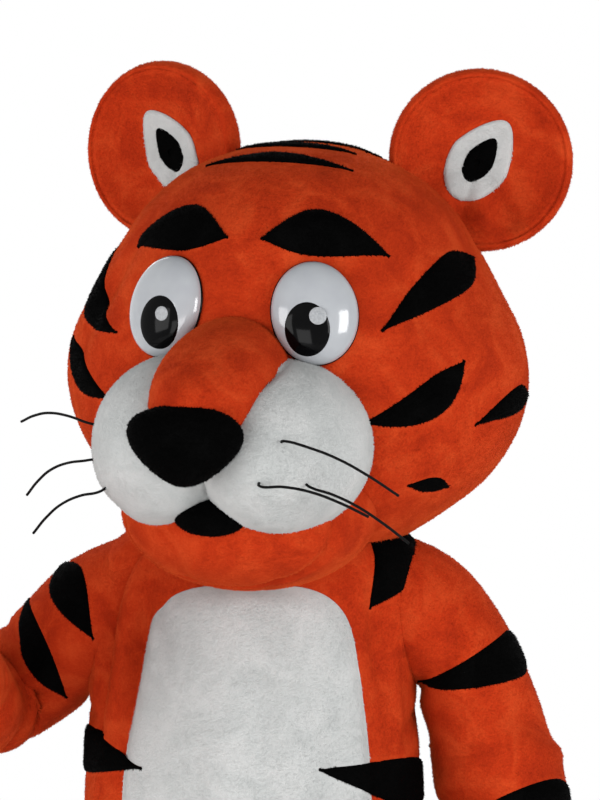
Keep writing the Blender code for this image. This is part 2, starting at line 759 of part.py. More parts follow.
def laid_stripe(stripe, skin, thickness=STRIPE_WALL):
    piece = layer(stripe.name, skin, "plush_black", thickness)
    name = "outline_" + stripe.name
    if stripe.skin == "crown":
        plan = CrownPlan()
        keep_inside(piece, prism_over(name, plan, ribbon_places(stripe, plan), -0.060, 0.040))
    else:
        keep_inside(piece, prism_over(name, skin, ribbon_places(stripe, skin), -0.006, 0.014))
    return piece


def panel_places(low, high, half_width, turn, squareness, skin, growth, across=8):
    """Rows of (turn, height) over an upright rounded panel."""
    places = []
    for k in range(PANEL_STATIONS + 1):
        share = -math.cos(math.pi * k / PANEL_STATIONS)
        height = 0.5 * (low + high) + share * (0.5 * (high - low) + growth)
        half = half_width * (1.0 - abs(share) ** squareness) ** (1.0 / squareness) + growth + STRIPE_TIP
        row = [(turn + (2.0 * n / across - 1.0) * half / skin.round_scale, height) for n in range(across + 1)]
        places.append(row)
    return places


def ellipsoid(pad, matrix, growth=0.0, slope=0.0):
    small = max(pad.half_width, pad.half_height) < SMALL_PAD
    segments = SMALL_PAD_SEGMENTS if small else PAD_SEGMENTS
    rings = SMALL_PAD_RINGS if small else PAD_RINGS
    shape = bmesh.new()
    bmesh.ops.create_uvsphere(shape, u_segments=segments, v_segments=rings, radius=1.0)
    size = Matrix.Diagonal((pad.half_width + growth, pad.half_depth + growth, pad.half_height + growth, 1.0))
    place = Matrix.Translation((pad.x, pad.y, pad.z)) @ Matrix.Rotation(slope, 4, "X")
    bmesh.ops.transform(shape, matrix=matrix @ place @ size, verts=shape.verts)
    return shape


def pad_piece(name, pad, finish, mirror=1, slope=0.0):
    pad = pad._replace(x=mirror * pad.x)
    return add_piece(name, to_mesh(name, ellipsoid(pad, head_matrix(), 0.0, slope)), finish)


def pad_cutter(name, pad, mirror=1, slope=0.0):
    pad = pad._replace(x=mirror * pad.x)
    return add_cutter(name, to_mesh(name, ellipsoid(pad, head_matrix(), SEAM_GAP, slope)))


def box_cutter(name, low, high, matrix):
    shape = bmesh.new()
    bmesh.ops.create_cube(shape, size=1.0)
    size = Vector(high) - Vector(low)
    centre = (Vector(high) + Vector(low)) / 2
    place = Matrix.Translation(centre) @ Matrix.Diagonal((*size, 1.0))
    bmesh.ops.transform(shape, matrix=matrix @ place, verts=shape.verts)
    return add_cutter(name, to_mesh(name, shape))


def trim(piece, point, away):
    """Cut a piece off flat at a point, taking off all that lies on its away side."""
    away = Vector(away).normalized()
    frame = Matrix.Translation(point) @ away.to_track_quat("Z", "Y").to_matrix().to_4x4()
    low = (-TRIM_REACH, -TRIM_REACH, 0.0)
    high = (TRIM_REACH, TRIM_REACH, TRIM_REACH)
    cut(piece, box_cutter(piece.name + "_trim", low, high, frame))


def cuff_line(sleeve_rows):
    """The middle of a cuff's trimmed edge, and the way the arm runs out of it."""
    cuff = Vector(sleeve_rows[0][:3])
    along = (cuff - Vector(sleeve_rows[1][:3])).normalized()
    return cuff - along * CUFF_TRIM, along


def belly_places(torso, growth):
    return panel_places(BELLY_LOW, BELLY_HIGH, BELLY_HALF_WIDTH, BELLY_TURN, BELLY_SQUARENESS, torso, growth)


def level_box(name, low, high):
    """A wide flat cutter between two heights."""
    return box_cutter(name, (-1.0, -1.0, low), (1.0, 1.0, high), Matrix.Identity(4))


def seamed_turns(first, last, columns, radius):
    """The turns of an open panel, drawn in by half a seam gap at both edges."""
    step = 360.0 / columns
    ease = math.degrees(0.5 * SEAM_GAP / radius)
    turns = [first + step * k for k in range(round((last - first) / step) + 1)]
    turns[0] += ease
    turns[-1] -= ease
    return turns


def build_suit(torso, arms, legs, arms_rows):
    arm_hollows = [hull_cutter("arm_hollow_" + side, arm, -PLUSH_WALL) for side, arm in arms.items()]
    belly_hole = prism_over("belly_hole", torso, belly_places(torso, BELLY_EASE), -0.020, 0.020)
    belly_outline = prism_over("belly_outline", torso, belly_places(torso, -BELLY_EASE), -0.022, 0.022)
    for name, (first, last) in TORSO_PANELS.items():
        turns = seamed_turns(first, last, TORSO_COLUMNS, TORSO_RINGS[4].half_width)
        piece = skin_wall(name, torso, "plush_orange", 0.0, -PLUSH_WALL, turns)
        trim(piece, (0.0, 0.0, CROTCH_HEIGHT), (0.0, 0.0, -1.0))
        cut(piece, *arm_hollows)
        if name == "suit_front":
            cut(piece, belly_hole)
            belly = skin_wall("belly_panel", torso, "plush_white", 0.0, -PLUSH_WALL, turns)
            keep_inside(belly, belly_outline)
    placket = layer("back_placket", torso, "plush_orange", STRIPE_WALL)
    strip = panel_places(PLACKET_LOW, PLACKET_HIGH, 0.5 * PLACKET_WIDTH, 180.0, 8.0, torso, 0.0, across=2)
    keep_inside(placket, prism_over("placket_outline", torso, strip, -0.010, 0.020))
    torso_hull = hull_cutter("torso_hull", torso, SEAM_GAP)
    for panel in SLEEVE_PANELS:
        whole = panel.last - panel.first == 360
        radius = arms_rows[panel.side][1].across
        turns = None if whole else seamed_turns(panel.first, panel.last, SLEEVE_COLUMNS, radius)
        sleeve = skin_wall(panel.name, arms[panel.side], "plush_orange", 0.0, -PLUSH_WALL, turns)
        trim(sleeve, *cuff_line(arms_rows[panel.side]))
        cut(sleeve, torso_hull)
    for side, leg in legs.items():
        name = "leg_" + side
        piece = skin_wall(name, leg, "plush_orange", 0.0, -PLUSH_WALL)
        trim(piece, (0.0, 0.0, CROTCH_HEIGHT - SEAM_GAP), (0.0, 0.0, 1.0))
        cut(piece, level_box(name + "_hem", HEM_HEIGHT - 0.1, HEM_HEIGHT))
    return torso_hull


def build_head(head, torso_hull):
    matrix = head_matrix()
    halves = {
        "head_front": (-FAR, HEAD_SEAM_DEPTH - 0.5 * SEAM_GAP),
        "head_back": (HEAD_SEAM_DEPTH + 0.5 * SEAM_GAP, FAR),
    }
    for name, (low, high) in halves.items():
        piece = skin_wall(name, head, "plush_orange", 0.0, -HEAD_WALL)
        keep_inside(piece, box_cutter(name + "_side", (-FAR, low, -FAR), (FAR, high, FAR), matrix))
        cut(piece, torso_hull)
    head_hull = hull_cutter("head_hull", head, SEAM_GAP)
    muzzles = {}
    for side, mirror in (("left", -1), ("right", 1)):
        name = "muzzle_" + side
        piece = pad_piece(name, MUZZLE_PAD, "plush_white", mirror)
        near, away = sorted((mirror * 0.5 * SEAM_GAP, mirror * FAR))
        cut(piece, head_hull)
        keep_inside(piece, box_cutter(name + "_half", (near, -FAR, -FAR), (away, FAR, FAR), matrix))
        muzzles[side] = pad_cutter(name + "_grown", MUZZLE_PAD, mirror)
    bridge = pad_piece("bridge", BRIDGE_PAD, "plush_orange", 1, BRIDGE_SLOPE)
    cut(bridge, head_hull, *muzzles.values())
    bridge_grown = pad_cutter("bridge_grown", BRIDGE_PAD, 1, BRIDGE_SLOPE)
    build_nose(head_hull, muzzles, bridge_grown)
    mouth = pad_piece("mouth", MOUTH_PAD, "plush_black")
    cut(mouth, head_hull, *muzzles.values())
    jaw = pad_piece("jaw", JAW_PAD, "plush_orange")
    cut(jaw, head_hull, torso_hull, pad_cutter("mouth_grown", MOUTH_PAD), *muzzles.values())
    return head_hull, muzzles


def build_nose(head_hull, muzzles, bridge_grown):
    """A rounded triangle: an ellipsoid that narrows downwards."""
    matrix = head_matrix()
    shape = ellipsoid(NOSE_PAD, Matrix.Identity(4))
    for vertex in shape.verts:
        drop = (NOSE_PAD.z - vertex.co.z) / NOSE_PAD.half_height
        vertex.co.x *= 1.0 - NOSE_TAPER * drop
    bmesh.ops.transform(shape, matrix=matrix, verts=shape.verts)
    nose = add_piece("nose", to_mesh("nose", shape), "plush_black")
    cut(nose, head_hull, bridge_grown, *muzzles.values())


def feature_frame(skin, feature, mirror):
    """Centre and side, out and up directions of a place on the skin."""
    turn = mirror * feature.turn
    centre = skin.point(turn, feature.place)
    out = skin.bare_normal(turn, feature.place, skin.shape)
    up = (skin.shape(turn, feature.place + 0.02) - skin.shape(turn, feature.place - 0.02)).normalized()
    side = up.cross(out).normalized()
    frame = Matrix((side, -out, up)).transposed().to_4x4()
    return Matrix.Translation(centre) @ frame


def build_eyes(head, head_hull):
    for side, mirror in (("left", -1), ("right", 1)):
        frame = feature_frame(head, EYE, mirror)
        dome = Pad(0.0, 0.0, 0.0, EYE.half_width, EYE.bulge, EYE.half_height)
        eye = add_piece("eye_" + side, to_mesh("eye_" + side, ellipsoid(dome, frame)), "gloss_white")
        cut(eye, head_hull)
        shell = ellipsoid(dome, frame, SEAM_GAP + EYE_GLOSS_WALL)
        pupil = add_piece("pupil_" + side, to_mesh("pupil_" + side, shell), "gloss_black")
        name = "eye_grown_" + side
        inner = add_cutter(name, to_mesh(name, ellipsoid(dome, frame, SEAM_GAP)))
        plug = bmesh.new()
        bmesh.ops.create_cone(plug, cap_ends=True, segments=PUPIL_SIDES, radius1=1.0, radius2=1.0, depth=0.1)
        size = Matrix.Diagonal((PUPIL_HALF_WIDTH, PUPIL_HALF_HEIGHT, 1.0, 1.0))
        spot = Matrix.Translation((-mirror * PUPIL_INWARD, -0.055, -PUPIL_DROP))
        aim = Matrix.Rotation(math.radians(90.0), 4, "X")
        bmesh.ops.transform(plug, matrix=frame @ spot @ aim @ size, verts=plug.verts)
        keep_inside(pupil, add_cutter("pupil_outline_" + side, to_mesh("pupil_outline_" + side, plug)))
        cut(pupil, inner)
        cut(bpy.data.objects["muzzle_" + side], inner)
        cut(bpy.data.objects["bridge"], inner)


def build_brows(head):
    for side, mirror in (("left", -1), ("right", 1)):
        fullest = BROW_FULLEST if mirror > 0 else 1.0 - BROW_FULLEST
        brow = Stripe("brow_" + side, "head", mirror * BROW_TURN, BROW_PLACE, BROW_LENGTH, BROW_WIDTH,
                      -mirror * BROW_SLANT, BROW_BOW, fullest)
        laid_stripe(brow, head, BROW_PAD)


def ear_frame(mirror):
    """The ear's own frame: x across it, -y out of its dish, z up to its top."""
    place = Matrix.Translation((mirror * EAR_OUT, EAR_BEHIND, EAR_UP))
    lean = Matrix.Rotation(mirror * EAR_LEAN, 4, "Y")
    face = Matrix.Rotation(mirror * EAR_FACING, 4, "Z")
    return head_matrix() @ place @ face @ lean


def build_ears(head_hull):
    for side, mirror in (("left", -1), ("right", 1)):
        frame = ear_frame(mirror)

        def ring(radius, depth):
            points = []
            for k in range(EAR_COLUMNS):
                angle = 2.0 * math.pi * k / EAR_COLUMNS
                points.append(frame @ Vector((math.sin(angle) * radius * EAR_HALF_WIDTH, -depth,
                                              -math.cos(angle) * radius * EAR_HALF_HEIGHT)))
            return points

        def dish(name, finish, offset, thickness):
            lifts = (offset + thickness, offset)
            sheets = [[ring(row.radius, row.depth) for row in reversed(moved_dish(lift))] for lift in lifts]
            tips = [frame @ Vector((0.0, -(EAR_MIDDLE + lift), 0.0)) for lift in lifts]
            return add_piece(name, wall(name, *sheets, True, *tips), finish)

        rows = [ring(row.radius, row.depth) for row in reversed(EAR_DISH + EAR_RIM_AND_BACK)]
        name = "ear_back_" + side
        middles = [frame @ Vector((0.0, -depth, 0.0)) for depth in (EAR_BACK_MIDDLE, EAR_MIDDLE)]
        back = add_piece(name, loft(name, rows, True, *middles), "plush_orange")
        cut(back, head_hull)
        cut(dish("ear_front_" + side, "plush_orange", SEAM_GAP, EAR_PANEL), head_hull)
        on_front = SEAM_GAP + EAR_PANEL + SEAM_GAP
        patch = dish("ear_patch_" + side, "plush_white", on_front, STRIPE_WALL)
        spot = dish("ear_spot_" + side, "plush_black", on_front + STRIPE_WALL + SEAM_GAP, EAR_SPOT_WALL)
        keep_inside(patch, leaf_cutter("patch_outline_" + side, EAR_PATCH, frame))
        keep_inside(spot, leaf_cutter("spot_outline_" + side, EAR_SPOT, frame))
        cut(patch, head_hull)


def moved_dish(offset):
    """The ear's dish rings, moved out of the dish along its own normal."""
    rings = [EarRing(0.0, EAR_MIDDLE), *EAR_DISH, EAR_RIM_AND_BACK[0]]
    moved = []
    for before, ring, after in zip(rings, rings[1:], rings[2:]):
        run = (after.radius - before.radius) * EAR_HALF_WIDTH
        rise = after.depth - before.depth
        length = math.hypot(run, rise)
        moved.append(EarRing(ring.radius - rise / length * offset / EAR_HALF_WIDTH,
                             ring.depth + run / length * offset))
    return moved


def leaf_cutter(name, size, frame):
    """A prism through the ear whose outline is a leaf, pointed at the top."""
    width, height = size
    outline = []
    for k in range(LEAF_SIDES):
        angle = 2.0 * math.pi * (k + 0.5) / LEAF_SIDES
        z = -math.cos(angle)
        x = math.sin(angle) * (1.0 - 0.35 * max(z, 0.0))
        outline.append((0.5 * width * x, 0.5 * height * z))
    near, away = -0.06, 0.06
    rows = [[frame @ Vector((x, y, z)) for x, z in outline] for y in (away, near)]
    return add_cutter(name, loft(name, rows, True, middle_of(rows[0]), middle_of(rows[1])))


def build_paws(arms_rows):
    """Each mitt's rows are turned round, so that its wall closes on the fingertip."""
    places = [k / PAW_ROWS for k in range(PAW_ROWS + 1)]
    for side, rows in arms_rows.items():
        mitt_rows, tip = paw_rows(rows)
        skin = Skin(tube_shape(mitt_rows), PAW_COLUMNS, places, 0.055 * DEGREE, PAW_TIP, PAW_FOLDS)
        name = "paw_" + side
        sheets = []
        for lift in (0.0, -PLUSH_WALL):
            fingertip_first = skin.rows(skin.all_turns(), lift)
            sheets.append([list(reversed(row)) for row in reversed(fingertip_first)])
        edge, along = cuff_line(rows)
        mesh = wall(name, *sheets, True, tip, tip - along * PLUSH_WALL)
        trim(add_piece(name, mesh, "plush_orange"), edge + along * SEAM_GAP, -along)


def build_feet():
    low, high = FOOT_RINGS[0].height, FOOT_RINGS[-1].height
    places = [low + (high - low) * k / FOOT_ROWS for k in range(FOOT_ROWS + 1)]
    places = [low - SEAM_ALLOWANCE, *places, high + SEAM_ALLOWANCE]
    for side, mirror in (("left", -1), ("right", 1)):
        skin = Skin(foot_shape(mirror), FOOT_COLUMNS, places, 0.16 * DEGREE, 1.0, FOOT_FOLDS)
        name = "foot_" + side
        foot = skin_wall(name, skin, "plush_orange", 0.0, -PLUSH_WALL)
        cut(foot, level_box(name + "_top", HEM_HEIGHT - SEAM_GAP, HEM_HEIGHT + 0.1))
        cut(foot, level_box(name + "_base", SOLE_TOP - 0.1, SOLE_TOP + SEAM_GAP))
        name = "sole_" + side
        outline = [skin.shape(turn, low) for turn in skin.all_turns()]
        rows = [[Vector((p.x, p.y, height)) for p in outline] for height in (SOLE_TOP - SOLE_WALL, SOLE_TOP)]
        add_piece(name, loft(name, rows, True, middle_of(rows[0]), middle_of(rows[1])), "sole_black")


def build_tail(torso_hull):
    places = [k / TAIL_ROWS for k in range(TAIL_ROWS + 1)]
    skin = Skin(tube_shape(TAIL_RINGS), TAIL_COLUMNS, places, 0.035 * DEGREE, 0.62)
    rows = skin.rows(skin.all_turns())
    first = TAIL_RINGS[0]
    tip = Vector((first.x + 0.008, first.y - 0.016, first.z - 0.020))
    tail = add_piece("tail", loft("tail", rows, True, tip, middle_of(rows[-1])), "plush_orange")
    cut(tail, torso_hull)


def strand(name, line, finish):
    """A thin round strand through a line of points."""
    last = len(line) - 1
    rows = []
    for k, point in enumerate(line):
        along = (line[min(k + 1, last)] - line[max(k - 1, 0)]).normalized()
        first = along.orthogonal().normalized() if k == 0 else (first - along * first.dot(along)).normalized()
        second = along.cross(first)
        angles = [2.0 * math.pi * n / STRAND_SIDES for n in range(STRAND_SIDES)]
        rows.append([point + (first * math.cos(a) + second * math.sin(a)) * WHISKER_RADIUS for a in angles])
    return add_piece(name, loft(name, rows, True, line[0], line[-1]), finish)


def build_whiskers(muzzles):
    """Each whisker starts inside its muzzle pad and is cut back to the pad's face."""
    matrix = head_matrix()
    for number, whisker in enumerate(WHISKERS, start=1):
        bearing = math.radians(whisker.bearing)
        rise = math.radians(whisker.rise)
        pad = MUZZLE_PAD
        ball = Vector((whisker.side * math.sin(bearing) * math.cos(rise), -math.cos(bearing) * math.cos(rise),
                       math.sin(rise)))
        root = Vector((whisker.side * pad.x + ball.x * pad.half_width, pad.y + ball.y * pad.half_depth,
                       pad.z + ball.z * pad.half_height))
        out = Vector((ball.x / pad.half_width, ball.y / pad.half_depth, ball.z / pad.half_height)).normalized()
        start = root - out * WHISKER_ROOT
        stem = root + out * WHISKER_STEM
        tip = root + Vector((whisker.side * whisker.out, whisker.back, -whisker.drop))
        line = [start, stem]
        for share in (0.25, 0.5, 0.75, 1.0):
            lift = 0.010 * math.sin(math.pi * share)
            line.append(stem.lerp(tip, share) + Vector((0.0, -lift, lift)))
        whisker_piece = strand("whisker_" + str(number), [matrix @ place for place in line], "strand_black")
        cut(whisker_piece, *muzzles.values())


def main():
    shares = [1.0 - (1.0 - k / TORSO_ROWS) ** TORSO_CROWDING for k in range(TORSO_ROWS + 1)]
    torso_places = [CROTCH_HEIGHT + (COLLAR_HEIGHT - CROTCH_HEIGHT) * share for share in shares]
    torso_places = [CROTCH_HEIGHT - SEAM_ALLOWANCE, *torso_places]
    torso = Skin(torso_shape, TORSO_COLUMNS, torso_places, 0.165 * DEGREE, 1.0, TORSO_FOLDS)
    sleeve_places = [k / SLEEVE_ROWS for k in range(SLEEVE_ROWS + 1)]
    arms_rows = {"left": SLEEVE_LEFT_RINGS, "right": SLEEVE_RIGHT_RINGS}
    arms_folds = {"left": SLEEVE_LEFT_FOLDS, "right": SLEEVE_RIGHT_FOLDS}
    arms_lengths = {"left": 0.43, "right": 0.60}
    arms = {}
    for side, rows in arms_rows.items():
        arms[side] = Skin(tube_shape(rows), SLEEVE_COLUMNS, sleeve_places, 0.062 * DEGREE, arms_lengths[side],
                          arms_folds[side])
    leg_low, leg_high = LEG_RINGS[0].height, LEG_RINGS[-1].height
    leg_places = [leg_low + (leg_high - leg_low) * k / LEG_ROWS for k in range(LEG_ROWS + 1)]
    leg_places = [leg_low - SEAM_ALLOWANCE, *leg_places, leg_high + SEAM_ALLOWANCE]
    legs = {}
    for side, mirror in (("left", -1), ("right", 1)):
        legs[side] = Skin(leg_shape(mirror), LEG_COLUMNS, leg_places, 0.098 * DEGREE, 1.0, LEG_FOLDS)
    head_places = [k / HEAD_ROWS for k in range(HEAD_ROWS + 1)]
    crown = head_matrix() @ Vector((0.0, 0.0, HEAD_CROWN))
    head = Skin(head_shape, HEAD_COLUMNS, head_places, 0.19 * DEGREE, 0.46, HEAD_FOLDS, crown)

    torso_hull = build_suit(torso, arms, legs, arms_rows)
    head_hull, muzzles = build_head(head, torso_hull)
    for panel in SLEEVE_PANELS:
        cut(bpy.data.objects[panel.name], head_hull)
    build_eyes(head, head_hull)
    build_brows(head)
    build_ears(head_hull)
    build_whiskers(muzzles)
    build_paws(arms_rows)
    build_feet()
    build_tail(torso_hull)

    skins = {
        "torso": torso,
        "head": head,
        "crown": head,
        "sleeve_left": arms["left"],
        "sleeve_right": arms["right"],
    }
    arm_hulls = [hull_cutter("arm_hull_" + side, arm, SEAM_GAP) for side, arm in arms.items()]
    for stripe in STRIPES:
        piece = laid_stripe(stripe, skins[stripe.skin])
        if stripe.skin in ("head", "crown"):
            cut(piece, *muzzles.values())
        else:
            cut(piece, head_hull)
        if stripe.skin == "torso":
            cut(piece, *arm_hulls)
        if stripe.skin.startswith("sleeve"):
            cut(piece, torso_hull)


clear_scene()
PIECES = collection("tiger_mascot_costume")
CUTTERS = collection("cutters")
main()
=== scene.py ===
# %% [markdown]
# # A tiger mascot costume in short plush
# The real thing is a set of sewn plush: a big padded head, a bodysuit with a white belly,
# paws, feet and a tail. Its maker cuts flat panels, sews them and stretches them over foam.
# The solids of the set are loaded first, as a frame that fixes every size and place. Each
# piece of cloth is then laid on its own solid, creased and given a pile.

# %% Load the frame
import math
from collections import namedtuple

import bmesh
import bpy
import numpy as np
from mathutils import Matrix, Vector
from mathutils.bvhtree import BVHTree


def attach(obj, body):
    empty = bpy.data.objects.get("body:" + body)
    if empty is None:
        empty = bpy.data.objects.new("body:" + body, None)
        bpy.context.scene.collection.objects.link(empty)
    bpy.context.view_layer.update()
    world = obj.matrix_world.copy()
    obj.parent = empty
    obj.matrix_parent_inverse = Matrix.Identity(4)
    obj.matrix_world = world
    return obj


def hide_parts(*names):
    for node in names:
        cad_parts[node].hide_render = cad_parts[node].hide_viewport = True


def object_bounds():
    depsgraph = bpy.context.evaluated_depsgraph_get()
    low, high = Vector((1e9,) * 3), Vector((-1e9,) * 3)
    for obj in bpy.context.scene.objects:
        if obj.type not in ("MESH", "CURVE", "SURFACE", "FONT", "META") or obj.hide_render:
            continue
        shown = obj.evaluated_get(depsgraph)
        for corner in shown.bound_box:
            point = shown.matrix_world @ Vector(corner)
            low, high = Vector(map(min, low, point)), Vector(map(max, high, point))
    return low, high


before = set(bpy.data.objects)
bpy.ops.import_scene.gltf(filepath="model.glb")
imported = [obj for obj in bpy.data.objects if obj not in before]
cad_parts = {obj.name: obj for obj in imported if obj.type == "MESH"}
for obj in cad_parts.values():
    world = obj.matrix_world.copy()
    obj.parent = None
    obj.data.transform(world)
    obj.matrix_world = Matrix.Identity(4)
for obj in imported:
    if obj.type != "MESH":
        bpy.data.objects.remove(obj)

cad_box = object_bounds()
print("CAD nodes:", len(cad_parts), "box:", [[round(v, 3) for v in corner] for corner in cad_box])

# %% [markdown]
# ## Camera, light and floor
# The picture was taken from the front, level with the chin, from a few metres away. A long
# lens keeps the head's width true. Large soft lights stand either side of the camera, so that
# the pile shades gently, and the floor is pale and plain.

# %% Camera
DISTANCE = 3.5
FIELD_WIDTH = 0.6
camera = bpy.data.objects.new("camera", bpy.data.cameras.new("camera"))
camera.data.sensor_fit = "HORIZONTAL"
camera.data.lens = camera.data.sensor_width * DISTANCE / FIELD_WIDTH
camera.location = (0.038, -DISTANCE, 0.110)
camera.rotation_euler = (math.radians(90.0), 0.0, 0.0)
bpy.context.scene.collection.objects.link(camera)
bpy.context.scene.camera = camera
bpy.context.scene.view_settings.view_transform = "Standard"
print("Lens", round(camera.data.lens), "mm")

# %% Light
Lamp = namedtuple("Lamp", "name place aim size power")
LAMPS = [
    Lamp("key_light", (2.7, -2.2, 0.3), (0.0, 0.0, 0.0), 1.4, 54.0),
    Lamp("fill_light", (-2.7, -2.2, 0.1), (0.0, 0.0, -0.1), 1.8, 44.0),
    Lamp("low_light", (-0.8, -3.2, -1.0), (0.0, 0.0, -0.1), 1.6, 30.0),
    Lamp("back_light", (-0.6, 3.0, 2.2), (0.0, 0.0, -0.2), 2.0, 30.0),
]
for lamp in LAMPS:
    data = bpy.data.lights.new(lamp.name, "AREA")
    data.size = lamp.size
    data.energy = lamp.power
    light = bpy.data.objects.new(lamp.name, data)
    light.location = lamp.place
    aim = Vector(lamp.aim) - Vector(lamp.place)
    light.rotation_euler = aim.to_track_quat("-Z", "Y").to_euler()
    bpy.context.scene.collection.objects.link(light)
print("Lamps:", len(LAMPS))

# %% [markdown]
# ## Colours and nodes
# Every colour is written as a web colour, because that is how a swatch is read off a cloth
# card. The renderer counts light, not web values, so one function turns them to linear. One
# more function adds a shader node with its settings and its links.

# %% Colour and node helpers


def linear(hex_colour, alpha=1.0):
    values = [int(hex_colour[k:k + 2], 16) / 255.0 for k in (1, 3, 5)]
    values = [v / 12.92 if v <= 0.04045 else ((v + 0.055) / 1.055) ** 2.4 for v in values]
    return (*values, alpha)


def node(material, kind, settings=None, values=None, links=None):
    """Add a node: its settings, its sockets' values, and what is linked into its sockets."""
    made = material.node_tree.nodes.new(kind)
    for name, value in (settings or {}).items():
        setattr(made, name, value)
    for name, value in (values or {}).items():
        made.inputs[name].default_value = value
    for name, source in (links or {}).items():
        material.node_tree.links.new(source, made.inputs[name])
    return made


def new_material(name):
    material = bpy.data.materials.new(name)
    material.use_nodes = True
    return material, material.node_tree.nodes["Principled BSDF"]


def ramp(material, source, stops):
    made = node(material, "ShaderNodeValToRGB", links={"Fac": source})
    elements = made.color_ramp.elements
    while len(elements) < len(stops):
        elements.new(0.5)
    for element, (place, colour) in zip(elements, stops):
        element.position = place
        element.color = linear(colour)
    return made.outputs["Color"]


print("Plush orange in linear light:", [round(v, 3) for v in linear("#BE4420")])

# %% [markdown]
# ## Plush
# This is knitted polyester velour with a dense pile about 3 mm long. The pile lies down the
# body, and where a hand has brushed it the other way it looks lighter or darker, in soft
# patches a few centimetres across. Seen edge on, the tips catch the light, which is what
# sheen does in the shader. The backing gets a fine bump, and loose blades of pile are laid
# on it further down. A blade's colour is darkened towards its root, as painted shade among
# the blades, and lifted a little past the full colour at its tip, as painted light.

# %% Plush materials
Plush = namedtuple("Plush", "deep middle light tip_sheen sheen root_shade")
# The last field is painted shade: how dark each blade is painted at its root.
PLUSHES = {
    "plush_orange": Plush("#A02A10", "#B03213", "#BD3F1B", "#F06A30", 0.38, 0.86),
    "plush_black": Plush("#010101", "#020202", "#040404", "#262626", 0.03, 0.60),
    "plush_white": Plush("#B1B3B2", "#B7B9B8", "#BDBEBD", "#FFFFFF", 0.12, 0.94),
}
PATCH_MM = 45.0
NAP_MM = 2.2
PILE_MM = 2.1


def plush(name, is_pile):
    colours = PLUSHES[name]
    material, shader = new_material(name + ("_velour_pile" if is_pile else "_velour_backing"))
    place = node(material, "ShaderNodeTexCoord").outputs["Object"]
    patches = node(material, "ShaderNodeTexNoise", values={"Scale": 1000.0 / PATCH_MM, "Detail": 3.0,
                   "Roughness": 0.55, "Distortion": 0.8}, links={"Vector": place})
    nap = node(material, "ShaderNodeTexNoise", values={"Scale": 1000.0 / NAP_MM, "Detail": 2.0},
               links={"Vector": place})
    mixed = node(material, "ShaderNodeMath", {"operation": "MULTIPLY_ADD"}, {1: 0.30},
                 {0: nap.outputs["Fac"], 2: patches.outputs["Fac"]}).outputs["Value"]
    tone = ramp(material, mixed, [(0.48, colours.deep), (0.64, colours.middle), (0.82, colours.light)])
    if is_pile:
        along = node(material, "ShaderNodeUVMap", {"uv_map": "blade"}).outputs["UV"]
        height = node(material, "ShaderNodeSeparateXYZ", links={"Vector": along})
        # Painted shade: each blade is darker towards its root and a little lighter than the cloth at its tip.
        shade = node(material, "ShaderNodeMapRange", values={"To Min": colours.root_shade, "To Max": 1.06},
                     links={"Value": height.outputs["Y"]}).outputs["Result"]
        tone = node(material, "ShaderNodeVectorMath", {"operation": "SCALE"},
                    links={0: tone, "Scale": shade}).outputs["Vector"]
    else:
        bump = node(material, "ShaderNodeBump", values={"Strength": 0.5, "Distance": 0.0012},
                    links={"Height": nap.outputs["Fac"]})
        material.node_tree.links.new(bump.outputs["Normal"], shader.inputs["Normal"])
    material.node_tree.links.new(tone, shader.inputs["Base Color"])
    shader.inputs["Roughness"].default_value = 0.92
    shader.inputs["Specular IOR Level"].default_value = 0.03
    shader.inputs["Sheen Weight"].default_value = colours.sheen
    shader.inputs["Sheen Roughness"].default_value = 0.45
    shader.inputs["Sheen Tint"].default_value = linear(colours.tip_sheen)
    return material


BACKING = {name: plush(name, False) for name in PLUSHES}
PILE = {name: plush(name, True) for name in PLUSHES}
print("Plush materials:", len(BACKING) + len(PILE))

# %% [markdown]
# ## Plastic, rubber and bristle
# The eyes are vacuum-formed sheet plastic, pressed over a mould and polished, so they are
# smooth with a faint ripple. The soles are a foamed rubber sheet with a fine grain. The
# whiskers are waxed cord, stiff enough to hold a bend.

# %% Hard materials


def moulded(name, colour, roughness, grain_mm, bump_mm, coat=0.0, shine=0.5):
    material, shader = new_material(name)
    place = node(material, "ShaderNodeTexCoord").outputs["Object"]
    grain = node(material, "ShaderNodeTexNoise", values={"Scale": 1000.0 / grain_mm, "Detail": 2.0},
                 links={"Vector": place})
    bump = node(material, "ShaderNodeBump", values={"Strength": 0.6, "Distance": bump_mm / 1000.0},
                links={"Height": grain.outputs["Fac"]})
    shade = ramp(material, grain.outputs["Fac"], [(0.3, colour[0]), (0.7, colour[1])])
    material.node_tree.links.new(bump.outputs["Normal"], shader.inputs["Normal"])
    material.node_tree.links.new(shade, shader.inputs["Base Color"])
    shader.inputs["Roughness"].default_value = roughness
    shader.inputs["Specular IOR Level"].default_value = shine
    shader.inputs["Coat Weight"].default_value = coat
    shader.inputs["Coat Roughness"].default_value = 0.05
    return material


EYE_WHITE = moulded("polished_white_abs", ("#A2A5AA", "#AAADB1"), 0.14, 25.0, 0.25, 0.5)
EYE_BLACK = moulded("polished_black_abs", ("#020203", "#050506"), 0.10, 18.0, 0.25, 0.0, 0.10)
# Painted highlight: a grey disc laid on each pupil in place of its highlight.
EYE_PAINTED_HIGHLIGHT = moulded("frosted_grey_vinyl", ("#8E9194", "#A9ABAE"), 0.45, 2.0, 0.20)
SOLE_RUBBER = moulded("foamed_black_rubber", ("#141414", "#1E1E1D"), 0.78, 1.5, 0.40)
WHISKER_CORD = moulded("waxed_black_cord", ("#030303", "#060606"), 0.60, 0.8, 0.15, 0.0, 0.12)
FLOOR_PAPER = moulded("pale_floor_paper", ("#F2F2F1", "#F6F6F5"), 0.90, 4.0, 0.05)
print("Hard materials made")

